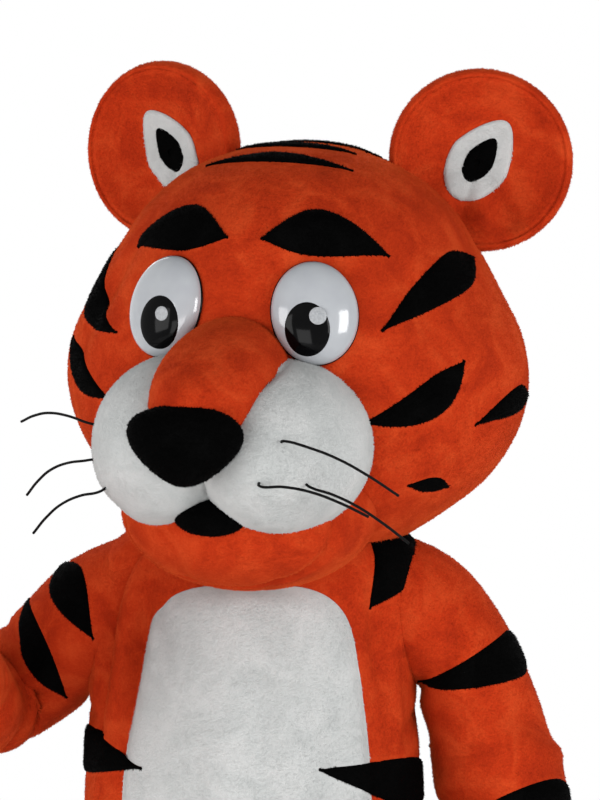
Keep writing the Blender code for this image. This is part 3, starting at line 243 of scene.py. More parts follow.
# %% Floor and surroundings
STUDIO_DIM, STUDIO_BRIGHT = 0.72, 1.0
CEILING = 0.02
world = bpy.data.worlds.new("soft_studio")
world.use_nodes = True
background = world.node_tree.nodes["Background"]
background.inputs["Color"].default_value = (1.0, 1.0, 1.0, 1.0)
heading = node(world, "ShaderNodeTexCoord").outputs["Generated"]
parts = node(world, "ShaderNodeSeparateXYZ", links={"Vector": heading})
wall = node(world, "ShaderNodeMapRange", values={"From Min": 0.2, "From Max": 0.8, "To Min": STUDIO_DIM,
            "To Max": STUDIO_BRIGHT}, links={"Value": parts.outputs["Y"]})
ceiling = node(world, "ShaderNodeMapRange", values={"From Min": 0.62, "From Max": 0.90, "To Min": 1.0,
               "To Max": CEILING}, links={"Value": parts.outputs["Z"]})
room = node(world, "ShaderNodeMath", {"operation": "MULTIPLY"},
            links={0: wall.outputs["Result"], 1: ceiling.outputs["Result"]})
world.node_tree.links.new(room.outputs["Value"], background.inputs["Strength"])
bpy.context.scene.world = world
bpy.ops.object.select_all(action="DESELECT")
bpy.ops.mesh.primitive_circle_add(vertices=96, radius=3.2, fill_type="NGON",
                                  location=(0.0, 0.0, cad_box[0][2] - 0.001))
floor = bpy.context.object
floor.name = "studio_floor"
bpy.ops.object.transform_apply(location=True, rotation=True, scale=True)
floor.data.materials.append(FLOOR_PAPER)
print("Floor at", round(cad_box[0][2], 3))

# %% [markdown]
# ## Sizes of the cloth
# These tables repeat the sizes that the solids were made from. Each row is a ring round the
# body, from the lowest up. Rows this far apart make a smooth form only when a curve is drawn
# through them, which the next cell does.

# %% Rings
BodyRing = namedtuple("BodyRing", "height half_width front back centre_x")
TORSO_RINGS = [
    BodyRing(-0.700, 0.215, 0.160, 0.180, 0.000),
    BodyRing(-0.600, 0.218, 0.170, 0.190, 0.000),
    BodyRing(-0.480, 0.200, 0.168, 0.165, -0.004),
    BodyRing(-0.350, 0.174, 0.160, 0.138, -0.008),
    BodyRing(-0.230, 0.166, 0.150, 0.130, -0.009),
    BodyRing(-0.150, 0.164, 0.142, 0.132, -0.009),
    BodyRing(-0.085, 0.170, 0.128, 0.130, -0.005),
    BodyRing(-0.045, 0.162, 0.112, 0.120, 0.000),
    BodyRing(-0.015, 0.132, 0.096, 0.106, 0.004),
    BodyRing(0.008, 0.098, 0.082, 0.092, 0.008),
    BodyRing(0.030, 0.080, 0.073, 0.082, 0.010),
]

HeadRing = namedtuple("HeadRing", "height half_width front back")
HEAD_RINGS = [
    HeadRing(-0.188, 0.116, 0.112, 0.122),
    HeadRing(-0.165, 0.150, 0.148, 0.150),
    HeadRing(-0.130, 0.192, 0.178, 0.175),
    HeadRing(-0.085, 0.221, 0.194, 0.190),
    HeadRing(-0.038, 0.232, 0.200, 0.198),
    HeadRing(0.008, 0.224, 0.199, 0.202),
    HeadRing(0.052, 0.200, 0.193, 0.200),
    HeadRing(0.095, 0.175, 0.180, 0.188),
    HeadRing(0.135, 0.147, 0.156, 0.163),
    HeadRing(0.168, 0.107, 0.117, 0.121),
    HeadRing(0.188, 0.058, 0.066, 0.068),
]
HEAD_CROWN = 0.195
CROWN_SHARE = 0.13
HEAD_CENTRE = Vector((0.036, -0.020, 0.170))
HEAD_YAW, HEAD_PITCH, HEAD_ROLL = (math.radians(a) for a in (-18.0, 7.0, 3.0))

TubeRing = namedtuple("TubeRing", "x y z across deep")
SLEEVE_RIGHT_RINGS = [
    TubeRing(0.277, -0.060, -0.560, 0.050, 0.052),
    TubeRing(0.271, -0.045, -0.500, 0.058, 0.060),
    TubeRing(0.260, -0.022, -0.420, 0.064, 0.067),
    TubeRing(0.248, -0.004, -0.340, 0.067, 0.070),
    TubeRing(0.236, 0.004, -0.265, 0.065, 0.070),
    TubeRing(0.218, 0.005, -0.195, 0.057, 0.068),
    TubeRing(0.192, 0.002, -0.140, 0.058, 0.070),
    TubeRing(0.154, 0.000, -0.098, 0.062, 0.072),
    TubeRing(0.105, 0.000, -0.072, 0.056, 0.066),
]
SLEEVE_LEFT_RINGS = [
    TubeRing(-0.298, -0.185, -0.132, 0.048, 0.050),
    TubeRing(-0.302, -0.130, -0.156, 0.054, 0.055),
    TubeRing(-0.301, -0.072, -0.177, 0.057, 0.058),
    TubeRing(-0.293, -0.018, -0.192, 0.056, 0.058),
    TubeRing(-0.277, 0.026, -0.194, 0.054, 0.056),
    TubeRing(-0.254, 0.048, -0.182, 0.054, 0.056),
    TubeRing(-0.227, 0.046, -0.162, 0.056, 0.058),
    TubeRing(-0.200, 0.030, -0.138, 0.058, 0.062),
    TubeRing(-0.157, 0.008, -0.102, 0.062, 0.070),
    TubeRing(-0.105, 0.000, -0.074, 0.056, 0.066),
]
LegRing = namedtuple("LegRing", "height centre_x centre_y across deep roundness")
LEG_RINGS = [
    LegRing(-1.365, 0.128, 0.000, 0.076, 0.082, 1.0),
    LegRing(-1.310, 0.127, 0.000, 0.088, 0.094, 1.0),
    LegRing(-1.220, 0.125, 0.002, 0.093, 0.099, 1.0),
    LegRing(-1.110, 0.122, 0.004, 0.095, 0.103, 1.0),
    LegRing(-1.000, 0.119, 0.004, 0.100, 0.112, 1.0),
    LegRing(-0.900, 0.116, 0.004, 0.106, 0.126, 0.97),
    LegRing(-0.810, 0.114, 0.006, 0.110, 0.142, 0.75),
    LegRing(-0.745, 0.112, 0.008, 0.112, 0.155, 0.32),
    LegRing(-0.700, 0.110, 0.010, 0.112, 0.160, 0.0),
]
FootRing = namedtuple("FootRing", "height half_width front back")
FOOT_RINGS = [
    FootRing(-1.440, 0.088, 0.215, 0.108),
    FootRing(-1.425, 0.096, 0.226, 0.116),
    FootRing(-1.405, 0.096, 0.222, 0.116),
    FootRing(-1.388, 0.089, 0.190, 0.108),
    FootRing(-1.376, 0.080, 0.130, 0.095),
    FootRing(-1.365, 0.076, 0.082, 0.082),
]
FOOT_TURN = math.radians(8.0)
PawRing = namedtuple("PawRing", "reach across deep")
PAW_RINGS = [
    PawRing(0.176, 0.016, 0.026),
    PawRing(0.166, 0.028, 0.046),
    PawRing(0.142, 0.037, 0.062),
    PawRing(0.105, 0.042, 0.070),
    PawRing(0.065, 0.044, 0.064),
    PawRing(0.030, 0.046, 0.054),
    PawRing(-0.008, 0.050, 0.052),
]
CUFF_TRIM = 0.003
PAW_TIP = 0.180
TailRing = namedtuple("TailRing", "x y z across deep")
TAIL_RINGS = [
    TailRing(0.055, 0.300, -1.180, 0.022, 0.022),
    TailRing(0.040, 0.335, -1.130, 0.031, 0.031),
    TailRing(0.018, 0.350, -1.040, 0.034, 0.034),
    TailRing(0.000, 0.335, -0.930, 0.035, 0.035),
    TailRing(-0.006, 0.300, -0.820, 0.036, 0.036),
    TailRing(-0.004, 0.262, -0.720, 0.037, 0.037),
    TailRing(0.000, 0.225, -0.640, 0.039, 0.039),
    TailRing(0.000, 0.170, -0.590, 0.040, 0.040),
]
print("Rings:", len(TORSO_RINGS) + len(HEAD_RINGS) + len(SLEEVE_LEFT_RINGS) + len(SLEEVE_RIGHT_RINGS))

# %% Curves through the rings


def blend_rows(rows, place):
    """A smooth curve through a table's rows, at a place from 0 to its last row."""
    last = len(rows) - 1
    place = min(max(place, 0.0), float(last))
    low = min(int(place), last - 1)
    f = place - low
    before, first, second, after = (rows[min(max(low + k, 0), last)] for k in (-1, 0, 1, 2))
    return type(rows[0])(*(0.5 * (2 * b + (c - a) * f + (2 * a - 5 * b + 4 * c - d) * f * f
                                  + (3 * b - a - 3 * c + d) * f * f * f)
                           for a, b, c, d in zip(before, first, second, after)))


def row_at_height(rows, height):
    if height <= rows[0].height:
        return rows[0]._replace(height=height)
    for low, (a, b) in enumerate(zip(rows, rows[1:])):
        if height <= b.height:
            return blend_rows(rows, low + (height - a.height) / (b.height - a.height))._replace(height=height)
    return rows[-1]._replace(height=height)


def body_point(row, turn):
    angle = math.radians(turn)
    depth = row.front if math.cos(angle) > 0 else row.back
    return Vector((math.sin(angle) * row.half_width, -math.cos(angle) * depth, row.height))


def torso_shape(turn, height):
    row = row_at_height(TORSO_RINGS, height)
    return body_point(row, turn) + Vector((row.centre_x, 0.0, 0.0))


HEAD_PLACE = (Matrix.Translation(HEAD_CENTRE) @ Matrix.Rotation(HEAD_YAW, 4, "Z")
              @ Matrix.Rotation(HEAD_PITCH, 4, "X") @ Matrix.Rotation(HEAD_ROLL, 4, "Y"))


def head_shape(turn, place):
    """Place 1 is the table's last ring, and past it the crown rounds over to its middle."""
    row = blend_rows(HEAD_RINGS, min(place, 1.0) * (len(HEAD_RINGS) - 1))
    left = 1.0 - max(place - 1.0, 0.0) / CROWN_SHARE
    height = HEAD_CROWN + (row.height - HEAD_CROWN) * left ** 2 if place > 1.0 else row.height
    return HEAD_PLACE @ body_point(HeadRing(height, row.half_width * left, row.front * left, row.back * left), turn)


def frames_along(rows):
    """Centre and two ring directions at each row of a tube, without twist."""
    centres = [Vector((row.x, row.y, row.z)) for row in rows]
    last = len(centres) - 1
    along = [(centres[min(k + 1, last)] - centres[max(k - 1, 0)]).normalized() for k in range(last + 1)]
    forward = Vector((0.0, -1.0, 0.0))
    first = (forward - along[-1] * forward.dot(along[-1])).normalized()
    frames = [None] * (last + 1)
    for k in range(last, -1, -1):
        first = (first - along[k] * first.dot(along[k])).normalized()
        frames[k] = (centres[k], first, along[k].cross(first))
    return frames


def tube_shape(rows):
    """A tube's surface: place 0 is its first row and 1 its last."""
    last = len(rows) - 1
    fine = [blend_rows(rows, k / 4) for k in range(4 * last + 1)]
    frames = frames_along(fine)

    def shape(turn, place):
        spot = min(max(place, 0.0), 1.0) * (len(fine) - 1)
        low = min(int(spot), len(fine) - 2)
        angle = math.radians(turn)
        ends = [centre + first * math.cos(angle) * row.deep + second * math.sin(angle) * row.across
                for (centre, first, second), row in zip(frames[low:low + 2], fine[low:low + 2])]
        return ends[0].lerp(ends[1], spot - low)

    return shape


def leg_shape(side):
    """A leg starts as half of the torso's lowest ring and turns round lower down."""
    ring = TORSO_RINGS[0]

    def shape(turn, height):
        row = row_at_height(LEG_RINGS, height)
        heading_x, heading_y = math.sin(math.radians(turn)), -math.cos(math.radians(turn))
        centre_x = side * row.centre_x
        low, high = 0.0, 2.0 * ring.half_width
        for _ in range(16):
            reach = 0.5 * (low + high)
            x, y = centre_x + heading_x * reach, row.centre_y + heading_y * reach
            depth = ring.front if y < 0 else ring.back
            inside = (x / ring.half_width) ** 2 + (y / depth) ** 2 < 1.0 and side * x > 0.0004
            low, high = (reach, high) if inside else (low, reach)
        hip_x, hip_y = centre_x + heading_x * low, row.centre_y + heading_y * low
        blend = min(max(row.roundness, 0.0), 1.0)
        x = hip_x + (centre_x + heading_x * row.across - hip_x) * blend
        y = hip_y + (row.centre_y + heading_y * row.deep - hip_y) * blend
        return Vector((side * max(side * x, 0.0004), y, height))

    return shape


def foot_shape(side):
    ankle = LEG_RINGS[0]

    def shape(turn, height):
        share = (FOOT_RINGS[-1].height - height) / (FOOT_RINGS[-1].height - FOOT_RINGS[0].height)
        swing = Matrix.Rotation(side * FOOT_TURN * min(max(share, 0.0), 1.0), 4, "Z")
        flat = body_point(row_at_height(FOOT_RINGS, height), turn)
        return swing @ flat + Vector((side * ankle.centre_x, ankle.centre_y, 0.0))

    return shape


print("Waist half-width at -0.3 m:", round(row_at_height(TORSO_RINGS, -0.3).half_width, 3))

# %% [markdown]
# ## How cloth creases
# Plush is thick, so it never creases sharply: it makes soft uneven troughs and ridges, most
# of them where a sleeve bends, where the chest hangs from the shoulder and where a leg
# stands on its foot. Each is listed in a table: where its middle lies, how long and
# wide it is, how deep, and how it slants.

# %% Folds
Fold = namedtuple("Fold", "turn place length width depth slant")
TORSO_FOLDS = [
    Fold(-60, -0.110, 0.100, 0.012, -0.022, 75),
    Fold(-52, -0.100, 0.080, 0.010, 0.007, 77),
    Fold(-43, -0.120, 0.080, 0.011, -0.017, 82),
    Fold(52, -0.130, 0.060, 0.022, -0.009, 110),
    Fold(18, -0.400, 0.130, 0.028, -0.006, 84),
    Fold(-22, -0.430, 0.140, 0.030, -0.006, 95),
    Fold(84, -0.330, 0.050, 0.020, -0.007, 10),
    Fold(-86, -0.340, 0.055, 0.020, -0.008, -12),
    Fold(84, -0.420, 0.060, 0.024, 0.006, 6),
    Fold(-92, -0.440, 0.060, 0.024, 0.006, -8),
    Fold(36, -0.640, 0.090, 0.026, -0.009, 35),
    Fold(-36, -0.640, 0.090, 0.026, -0.009, -35),
    Fold(140, -0.330, 0.080, 0.024, -0.008, 14),
    Fold(-142, -0.350, 0.080, 0.024, -0.008, -16),
    Fold(150, -0.620, 0.100, 0.028, -0.009, -30),
    Fold(-150, -0.620, 0.100, 0.028, -0.009, 30),
]
TORSO_CREASES = [
    Fold(-50, -0.085, 0.060, 0.008, -0.0090, 78),
    Fold(-66, -0.135, 0.055, 0.007, 0.0085, 72),
    Fold(-47, -0.150, 0.050, 0.007, -0.0085, 84),
    Fold(-33, -0.095, 0.045, 0.008, -0.0066, 98),
    Fold(46, -0.110, 0.050, 0.009, -0.0076, 104),
    Fold(60, -0.180, 0.060, 0.010, 0.0066, 96),
    Fold(4, -0.250, 0.110, 0.014, -0.0057, 92),
    Fold(-12, -0.300, 0.090, 0.012, 0.0057, 86),
    Fold(26, -0.260, 0.100, 0.012, -0.0057, 80),
    Fold(34, -0.380, 0.080, 0.012, 0.0053, 102),
    Fold(-30, -0.470, 0.090, 0.013, 0.0057, 90),
    Fold(76, -0.210, 0.045, 0.010, -0.0076, 16),
    Fold(-78, -0.205, 0.045, 0.010, -0.0076, -20),
    Fold(70, -0.500, 0.060, 0.012, -0.0066, 62),
    Fold(-72, -0.520, 0.060, 0.012, -0.0066, -58),
    Fold(0, -0.665, 0.050, 0.014, -0.0090, 88),
    Fold(122, -0.200, 0.060, 0.012, -0.0085, 66),
    Fold(-124, -0.190, 0.060, 0.012, -0.0085, -62),
    Fold(160, -0.440, 0.080, 0.014, 0.0066, 78),
    Fold(-158, -0.420, 0.080, 0.014, -0.0066, -80),
    Fold(116, -0.560, 0.070, 0.014, -0.0085, 40),
    Fold(-118, -0.560, 0.070, 0.014, -0.0085, -42),
]
SLEEVE_RIGHT_FOLDS = [
    Fold(-80, 0.720, 0.050, 0.016, -0.0110, 20),
    Fold(30, 0.600, 0.060, 0.018, -0.0090, -25),
    Fold(-60, 0.470, 0.050, 0.016, -0.0110, 15),
    Fold(40, 0.400, 0.060, 0.020, -0.0090, -18),
    Fold(-70, 0.330, 0.055, 0.016, -0.0110, 8),
    Fold(150, 0.450, 0.060, 0.018, -0.0105, 12),
    Fold(60, 0.200, 0.060, 0.018, -0.0105, 14),
    Fold(-90, 0.130, 0.060, 0.018, -0.0105, -10),
    Fold(10, 0.780, 0.045, 0.008, -0.0060, 34),
    Fold(-20, 0.560, 0.045, 0.008, -0.0060, 12),
    Fold(70, 0.520, 0.040, 0.008, 0.0053, -10),
    Fold(0, 0.360, 0.050, 0.009, -0.0060, -14),
    Fold(110, 0.300, 0.045, 0.009, -0.0060, 10),
    Fold(-150, 0.620, 0.050, 0.010, -0.0067, -12),
    Fold(170, 0.220, 0.050, 0.010, -0.0067, 8),
    Fold(20, 0.080, 0.050, 0.008, -0.0060, 4),
]
SLEEVE_LEFT_FOLDS = [
    Fold(20, 0.640, 0.040, 0.012, -0.0096, 70),
    Fold(-30, 0.300, 0.045, 0.015, -0.0096, 30),
    Fold(60, 0.200, 0.050, 0.016, -0.0096, -20),
    Fold(180, 0.550, 0.050, 0.016, -0.0096, 12),
    Fold(120, 0.750, 0.050, 0.016, -0.0096, -14),
    Fold(50, 0.520, 0.040, 0.008, -0.0080, -6),
    Fold(30, 0.440, 0.040, 0.008, 0.0056, 8),
    Fold(80, 0.400, 0.040, 0.009, -0.0072, 12),
    Fold(0, 0.150, 0.045, 0.008, -0.0056, 10),
    Fold(-60, 0.720, 0.040, 0.009, -0.0064, 30),
    Fold(-110, 0.360, 0.045, 0.010, -0.0064, -10),
]
LEG_FOLDS = [
    Fold(20, -1.285, 0.090, 0.018, -0.009, 6),
    Fold(-60, -1.255, 0.080, 0.018, -0.008, -10),
    Fold(150, -1.270, 0.080, 0.018, -0.009, 12),
    Fold(60, -1.210, 0.080, 0.020, -0.006, -8),
    Fold(10, -1.060, 0.070, 0.020, -0.007, 14),
    Fold(170, -1.040, 0.080, 0.020, -0.009, -8),
    Fold(-40, -0.860, 0.090, 0.024, -0.008, 40),
    Fold(60, -0.800, 0.080, 0.024, -0.007, -42),
    Fold(160, -0.780, 0.090, 0.022, -0.009, 16),
    Fold(-20, -1.235, 0.070, 0.010, -0.0050, 8),
    Fold(80, -1.320, 0.060, 0.009, -0.0045, 4),
    Fold(-110, -1.180, 0.070, 0.010, -0.0040, -12),
    Fold(110, -0.960, 0.070, 0.012, -0.0040, 20),
    Fold(-140, -0.900, 0.070, 0.012, -0.0045, -24),
]
HEAD_FOLDS = [
    Fold(-52, 0.600, 0.070, 0.016, -0.009, 80),
    Fold(52, 0.600, 0.060, 0.018, -0.005, 100),
    Fold(120, 0.560, 0.090, 0.020, -0.0030, 70),
    Fold(-120, 0.560, 0.090, 0.020, -0.0030, 110),
]
FOOT_FOLDS = [Fold(-13, -1.405, 0.045, 0.010, -0.010, 90), Fold(13, -1.405, 0.045, 0.010, -0.010, 90)]
PAW_FOLDS = [Fold(0, 0.560, 0.030, 0.024, 0.030, 0)]
PAW_FOLDS += [Fold(turn, 0.150, 0.040, 0.008, -0.007, 90) for turn in (75, 108, -75, -108)]
print("Folds placed by hand:", len(TORSO_FOLDS + TORSO_CREASES + SLEEVE_RIGHT_FOLDS + SLEEVE_LEFT_FOLDS))

# %% [markdown]
# ## A surface to cut cloth from
# A maker pins paper to the foam, draws the panels on it and unpins it. Here the paper is a
# fine grid over a turn round the body and a place along it. The grid is creased once, and
# after that every panel, stripe and blade of pile can ask it for a point and a direction.

# %% The cloth grid


def unit(vectors):
    return vectors / np.maximum(np.linalg.norm(vectors, axis=-1, keepdims=True), 1e-12)


class Cloth:
    """A closed grid of points over (turn, place), with its folds."""

    def __init__(self, shape, columns, places, round_scale, along_scale, folds):
        self.shape = shape
        self.columns = columns
        self.places = np.array(places)
        self.turns = -180.0 + 360.0 * np.arange(columns) / columns
        self.round_scale = round_scale
        self.along_scale = along_scale
        self.points = np.array([[shape(turn, place) for turn in self.turns] for place in self.places])
        self.normals = self.outward()
        self.move(self.fold_height(folds))

    def outward(self):
        round_way = np.roll(self.points, -1, axis=1) - np.roll(self.points, 1, axis=1)
        along_way = np.gradient(self.points, axis=0)
        return unit(np.cross(round_way, along_way))

    def fold_height(self, folds):
        turn, place = np.meshgrid(self.turns, self.places)
        total = np.zeros_like(turn)
        for fold in folds:
            across = ((turn - fold.turn + 180.0) % 360.0 - 180.0) * self.round_scale
            along = (place - fold.place) * self.along_scale
            slant = math.radians(fold.slant)
            run = across * math.cos(slant) + along * math.sin(slant)
            off = along * math.cos(slant) - across * math.sin(slant)
            total += fold.depth * np.exp(-(run / fold.length) ** 2 - (off / fold.width) ** 2)
        return total

    def seam(self, distance, depth=0.0030, width=0.006):
        """A trough along a seam, from the distance of each grid point to it in metres."""
        self.move(-depth * np.exp(-(distance / width) ** 2))

    def move(self, height):
        self.points = self.points + self.normals * height[..., None]
        self.normals = self.outward()

    def at(self, turns, places):
        """Points and normals at any turns and places, read between the grid's own."""
        spot = (np.asarray(turns, float) + 180.0) / 360.0 * self.columns
        left = np.floor(spot).astype(int)
        s = (spot - left)[..., None]
        left, right = left % self.columns, (left + 1) % self.columns
        row = np.interp(places, self.places, np.arange(len(self.places)))
        low = np.minimum(row.astype(int), len(self.places) - 2)
        t = (row - low)[..., None]
        found = []
        for grid in (self.points, self.normals):
            lower = grid[low, left] * (1 - s) + grid[low, right] * s
            upper = grid[low + 1, left] * (1 - s) + grid[low + 1, right] * s
            found.append(lower * (1 - t) + upper * t)
        return found[0], unit(found[1])


def spread(low, high, count):
    return np.linspace(low, high, count)


DEGREE = math.pi / 180.0
torso = Cloth(torso_shape, 120, spread(-0.700, 0.030, 92), 0.165 * DEGREE, 1.0, TORSO_FOLDS + TORSO_CREASES)
head_places = [*spread(0.0, 1.0, 72), *spread(1.0, 1.0 + 0.95 * CROWN_SHARE, 9)[1:]]
head = Cloth(head_shape, 112, head_places, 0.19 * DEGREE, 0.46, HEAD_FOLDS)
arms = {
    "left": Cloth(tube_shape(SLEEVE_LEFT_RINGS), 52, spread(0.010, 1.0, 64), 0.062 * DEGREE, 0.43, SLEEVE_LEFT_FOLDS),
    "right": Cloth(tube_shape(SLEEVE_RIGHT_RINGS), 52, spread(0.007, 1.0, 76), 0.062 * DEGREE, 0.60,
                   SLEEVE_RIGHT_FOLDS),
}
legs = {side: Cloth(leg_shape(sign), 56, spread(-1.365, -0.7005, 72), 0.098 * DEGREE, 1.0, LEG_FOLDS)
        for side, sign in (("left", -1), ("right", 1))}
feet = {side: Cloth(foot_shape(sign), 60, spread(-1.440, -1.3655, 20), 0.16 * DEGREE, 1.0, FOOT_FOLDS)
        for side, sign in (("left", -1), ("right", 1))}
print("Grid points:", sum(c.points.shape[0] * c.points.shape[1]
                          for c in (torso, head, *arms.values(), *legs.values(), *feet.values())))

# %% [markdown]
# ## From grid to cloth
# A panel is the part of the grid between some turns and places, given the thickness of
# knitted plush with a Solidify modifier. A closed tube is welded where its ends meet, so no
# seam shows that isn't sewn.

# %% Making a panel
CLOTH_MM = 2.0


def add_piece(name, mesh, material):
    piece = bpy.data.objects.new(name, mesh)
    mesh.materials.clear()
    mesh.materials.append(material)
    bpy.context.scene.collection.objects.link(piece)
    return piece


def apply_modifiers(piece):
    bpy.ops.object.select_all(action="DESELECT")
    piece.select_set(True)
    bpy.context.view_layer.objects.active = piece
    for modifier in list(piece.modifiers):
        bpy.ops.object.modifier_apply(modifier=modifier.name)
    bpy.ops.object.shade_smooth()


def grid_mesh(name, points, closed, caps=(None, None)):
    """A mesh over rows of points. A cap is a point that closes the first or the last row."""
    rows, columns = points.shape[:2]
    spans = columns if closed else columns - 1
    index = np.arange(rows * columns).reshape(rows, columns)
    following = np.roll(index, -1, axis=1)
    faces = np.stack([index[:-1, :spans], following[:-1, :spans], following[1:, :spans], index[1:, :spans]], axis=-1)
    faces = faces.reshape(-1, 4).tolist()
    verts = points.reshape(-1, 3).tolist()
    for cap, row, turned in ((caps[0], 0, True), (caps[1], rows - 1, False)):
        if cap is not None:
            verts.append(list(cap))
            for k in range(spans):
                pair = (int(index[row, k]), int(following[row, k]))
                faces.append((*(reversed(pair) if turned else pair), len(verts) - 1))
    mesh = bpy.data.meshes.new(name)
    mesh.from_pydata(verts, [], faces)
    mesh.update()
    return mesh


def thicken(piece, thickness_mm=CLOTH_MM):
    wall = piece.modifiers.new("cloth thickness", "SOLIDIFY")
    wall.thickness = thickness_mm / 1000.0
    wall.offset = -1.0
    apply_modifiers(piece)
    return piece


print("Cloth is", CLOTH_MM, "mm thick, with a pile of", PILE_MM, "mm")

# %% [markdown]
# ## Which side of a surface a point is on
# Where a sleeve runs into the body, the cloth stops at the seam. So each form is closed off
# as a hull, and a face or a blade that lies deeper than a seam allowance in another form's
# hull is left out. That leaves the armholes, the neck and the hollows open, as sewn ones are.

# %% Hulls


def middle_of(points):
    return np.mean(points, axis=0)


def hull(cloth, start=None, end=None):
    """A tree over the closed form of a cloth grid."""
    start = middle_of(cloth.points[0]) if start is None else start
    end = middle_of(cloth.points[-1]) if end is None else end
    mesh = grid_mesh("hull", cloth.points, True, (start, end))
    tree = BVHTree.FromPolygons([v.co for v in mesh.vertices], [tuple(p.vertices) for p in mesh.polygons])
    bpy.data.meshes.remove(mesh)
    return tree


def depth_in(tree, points):
    """How deep each point lies in a hull: positive is inside, in metres."""
    depths = np.empty(len(points))
    for k, point in enumerate(points):
        place, normal, _, _ = tree.find_nearest(Vector(point))
        depths[k] = normal.dot(place - Vector(point))
    return depths


def outside_all(trees, points, allowance):
    keep = np.ones(len(points), bool)
    for tree in trees:
        left = np.flatnonzero(keep)
        keep[left] = depth_in(tree, points[left]) < allowance
    return keep


Surface = namedtuple("Surface", "finish coords normals triangles cut area")
SURFACES = {}


def longest(points):
    """The length of the longest of several lines of points."""
    return float(np.linalg.norm(np.diff(points, axis=0), axis=-1).sum(axis=0).max())


def cut_size(points, closed, keep):
    """The flat width and length of what is left of a grid, all round on a tube."""
    rows, columns = points.shape[:2]
    spans = columns if closed else columns - 1
    cells = keep[:(rows - 1) * spans].reshape(rows - 1, spans)
    kept_rows = np.flatnonzero(cells.any(axis=1))
    points = points[kept_rows[0]:kept_rows[-1] + 2]
    if closed:
        girth = np.concatenate([points, points[:, :1]], axis=1)
    else:
        kept_columns = np.flatnonzero(cells.any(axis=0))
        girth = points[:, kept_columns[0]:kept_columns[-1] + 2]
    return longest(girth.transpose(1, 0, 2)), longest(girth)


def soft_piece(name, points, closed, finish, caps=(None, None), clear_of=(), allowance=0.005, hole=None):
    """A cloth piece over rows of points. Its outer face is kept for the pile and the cutting list."""
    mesh = grid_mesh(name, points, closed, caps)
    piece = add_piece(name, mesh, BACKING[finish])
    centres = np.array([p.center for p in mesh.polygons])
    keep = outside_all(clear_of, centres, allowance)
    if hole is not None:
        keep &= ~hole(centres)
    if not keep.all():
        shape = bmesh.new()
        shape.from_mesh(mesh)
        shape.faces.ensure_lookup_table()
        bmesh.ops.delete(shape, geom=[shape.faces[k] for k in np.flatnonzero(~keep)], context="FACES")
        shape.to_mesh(mesh)
        shape.free()
    mesh.calc_loop_triangles()
    coords = np.array([v.co for v in mesh.vertices])
    normals = np.array([v.normal for v in mesh.vertices])
    triangles = np.array([t.vertices for t in mesh.loop_triangles])
    area = sum(t.area for t in mesh.loop_triangles)
    SURFACES[name] = Surface(finish, coords, normals, triangles, cut_size(points, closed, keep), area)
    return thicken(piece)


def in_frame(points, matrix):
    """Points of the world as a frame sees them."""
    inverse = np.array(matrix.inverted())
    return np.asarray(points) @ inverse[:3, :3].T + inverse[:3, 3]


torso_hull = hull(torso)
head_crown = HEAD_PLACE @ Vector((0.0, 0.0, HEAD_CROWN))
head_hull = hull(head, end=head_crown)
arm_hulls = {side: hull(arm) for side, arm in arms.items()}
print("Middle of the chest is", round(float(depth_in(torso_hull, np.array([[0.0, 0.0, -0.3]]))[0]), 3), "m inside")

# %% [markdown]
# ## The bodysuit
# The front is one panel from side seam to side seam, with a hole where the white belly is
# sewn in. The back is two panels, and a lapped strip covers their hook-and-loop closing. Seams
# are pulled in a little by their thread, and the pile hides the stitches.

# %% Belly outline
BELLY_LOW, BELLY_HIGH = -0.600, -0.068
BELLY_HALF_WIDTH = 0.133
BELLY_TURN = -2.5
BELLY_SQUARENESS = 3.4
SEAM_OVERLAP = 0.009


def belly_half_width(share):
    return BELLY_HALF_WIDTH * (1.0 - np.abs(share) ** BELLY_SQUARENESS) ** (1.0 / BELLY_SQUARENESS)


def belly_margin(turns, heights):
    """About how far inside the belly panel's outline each place lies, in metres."""
    share = (heights - 0.5 * (BELLY_LOW + BELLY_HIGH)) / (0.5 * (BELLY_HIGH - BELLY_LOW))
    across = np.abs(turns - BELLY_TURN) * torso.round_scale
    reach = (np.minimum(np.abs(share), 1.6) ** BELLY_SQUARENESS + (across / BELLY_HALF_WIDTH) ** BELLY_SQUARENESS)
    return BELLY_HALF_WIDTH * (1.0 - reach ** (1.0 / BELLY_SQUARENESS))


turn_grid, height_grid = np.meshgrid(torso.turns, torso.places)
torso.seam(belly_margin(turn_grid, height_grid), 0.0030, 0.007)
for seam_turn in (-90.0, 90.0, 180.0):
    torso.seam(np.abs((turn_grid - seam_turn + 180.0) % 360.0 - 180.0) * torso.round_scale, 0.0025, 0.006)
print("Belly is", round(BELLY_HIGH - BELLY_LOW, 3), "m tall")

# %% Body panels


def on_cloth(cloth, turns, places, lift=0.0):
    points, normals = cloth.at(turns, places)
    return points + normals * np.asarray(lift)[..., None]


def body_panel(name, first, last, hole=None):
    turns = spread(first, last, int((last - first) / 2.6) + 1)
    grid = np.meshgrid(turns, torso.places)
    return soft_piece(name, on_cloth(torso, *grid), False, "plush_orange",
                      clear_of=[arm_hulls["left"], arm_hulls["right"]], allowance=0.006, hole=hole)


def under_belly(centres):
    turns = np.degrees(np.arctan2(centres[:, 0], -centres[:, 1]))
    return belly_margin(turns, centres[:, 2]) > SEAM_OVERLAP


suit_front = body_panel("suit_front_cloth", -90.0, 90.0, under_belly)
suit_back_left = body_panel("suit_back_left_cloth", -180.0, -90.0)
suit_back_right = body_panel("suit_back_right_cloth", 90.0, 180.0)

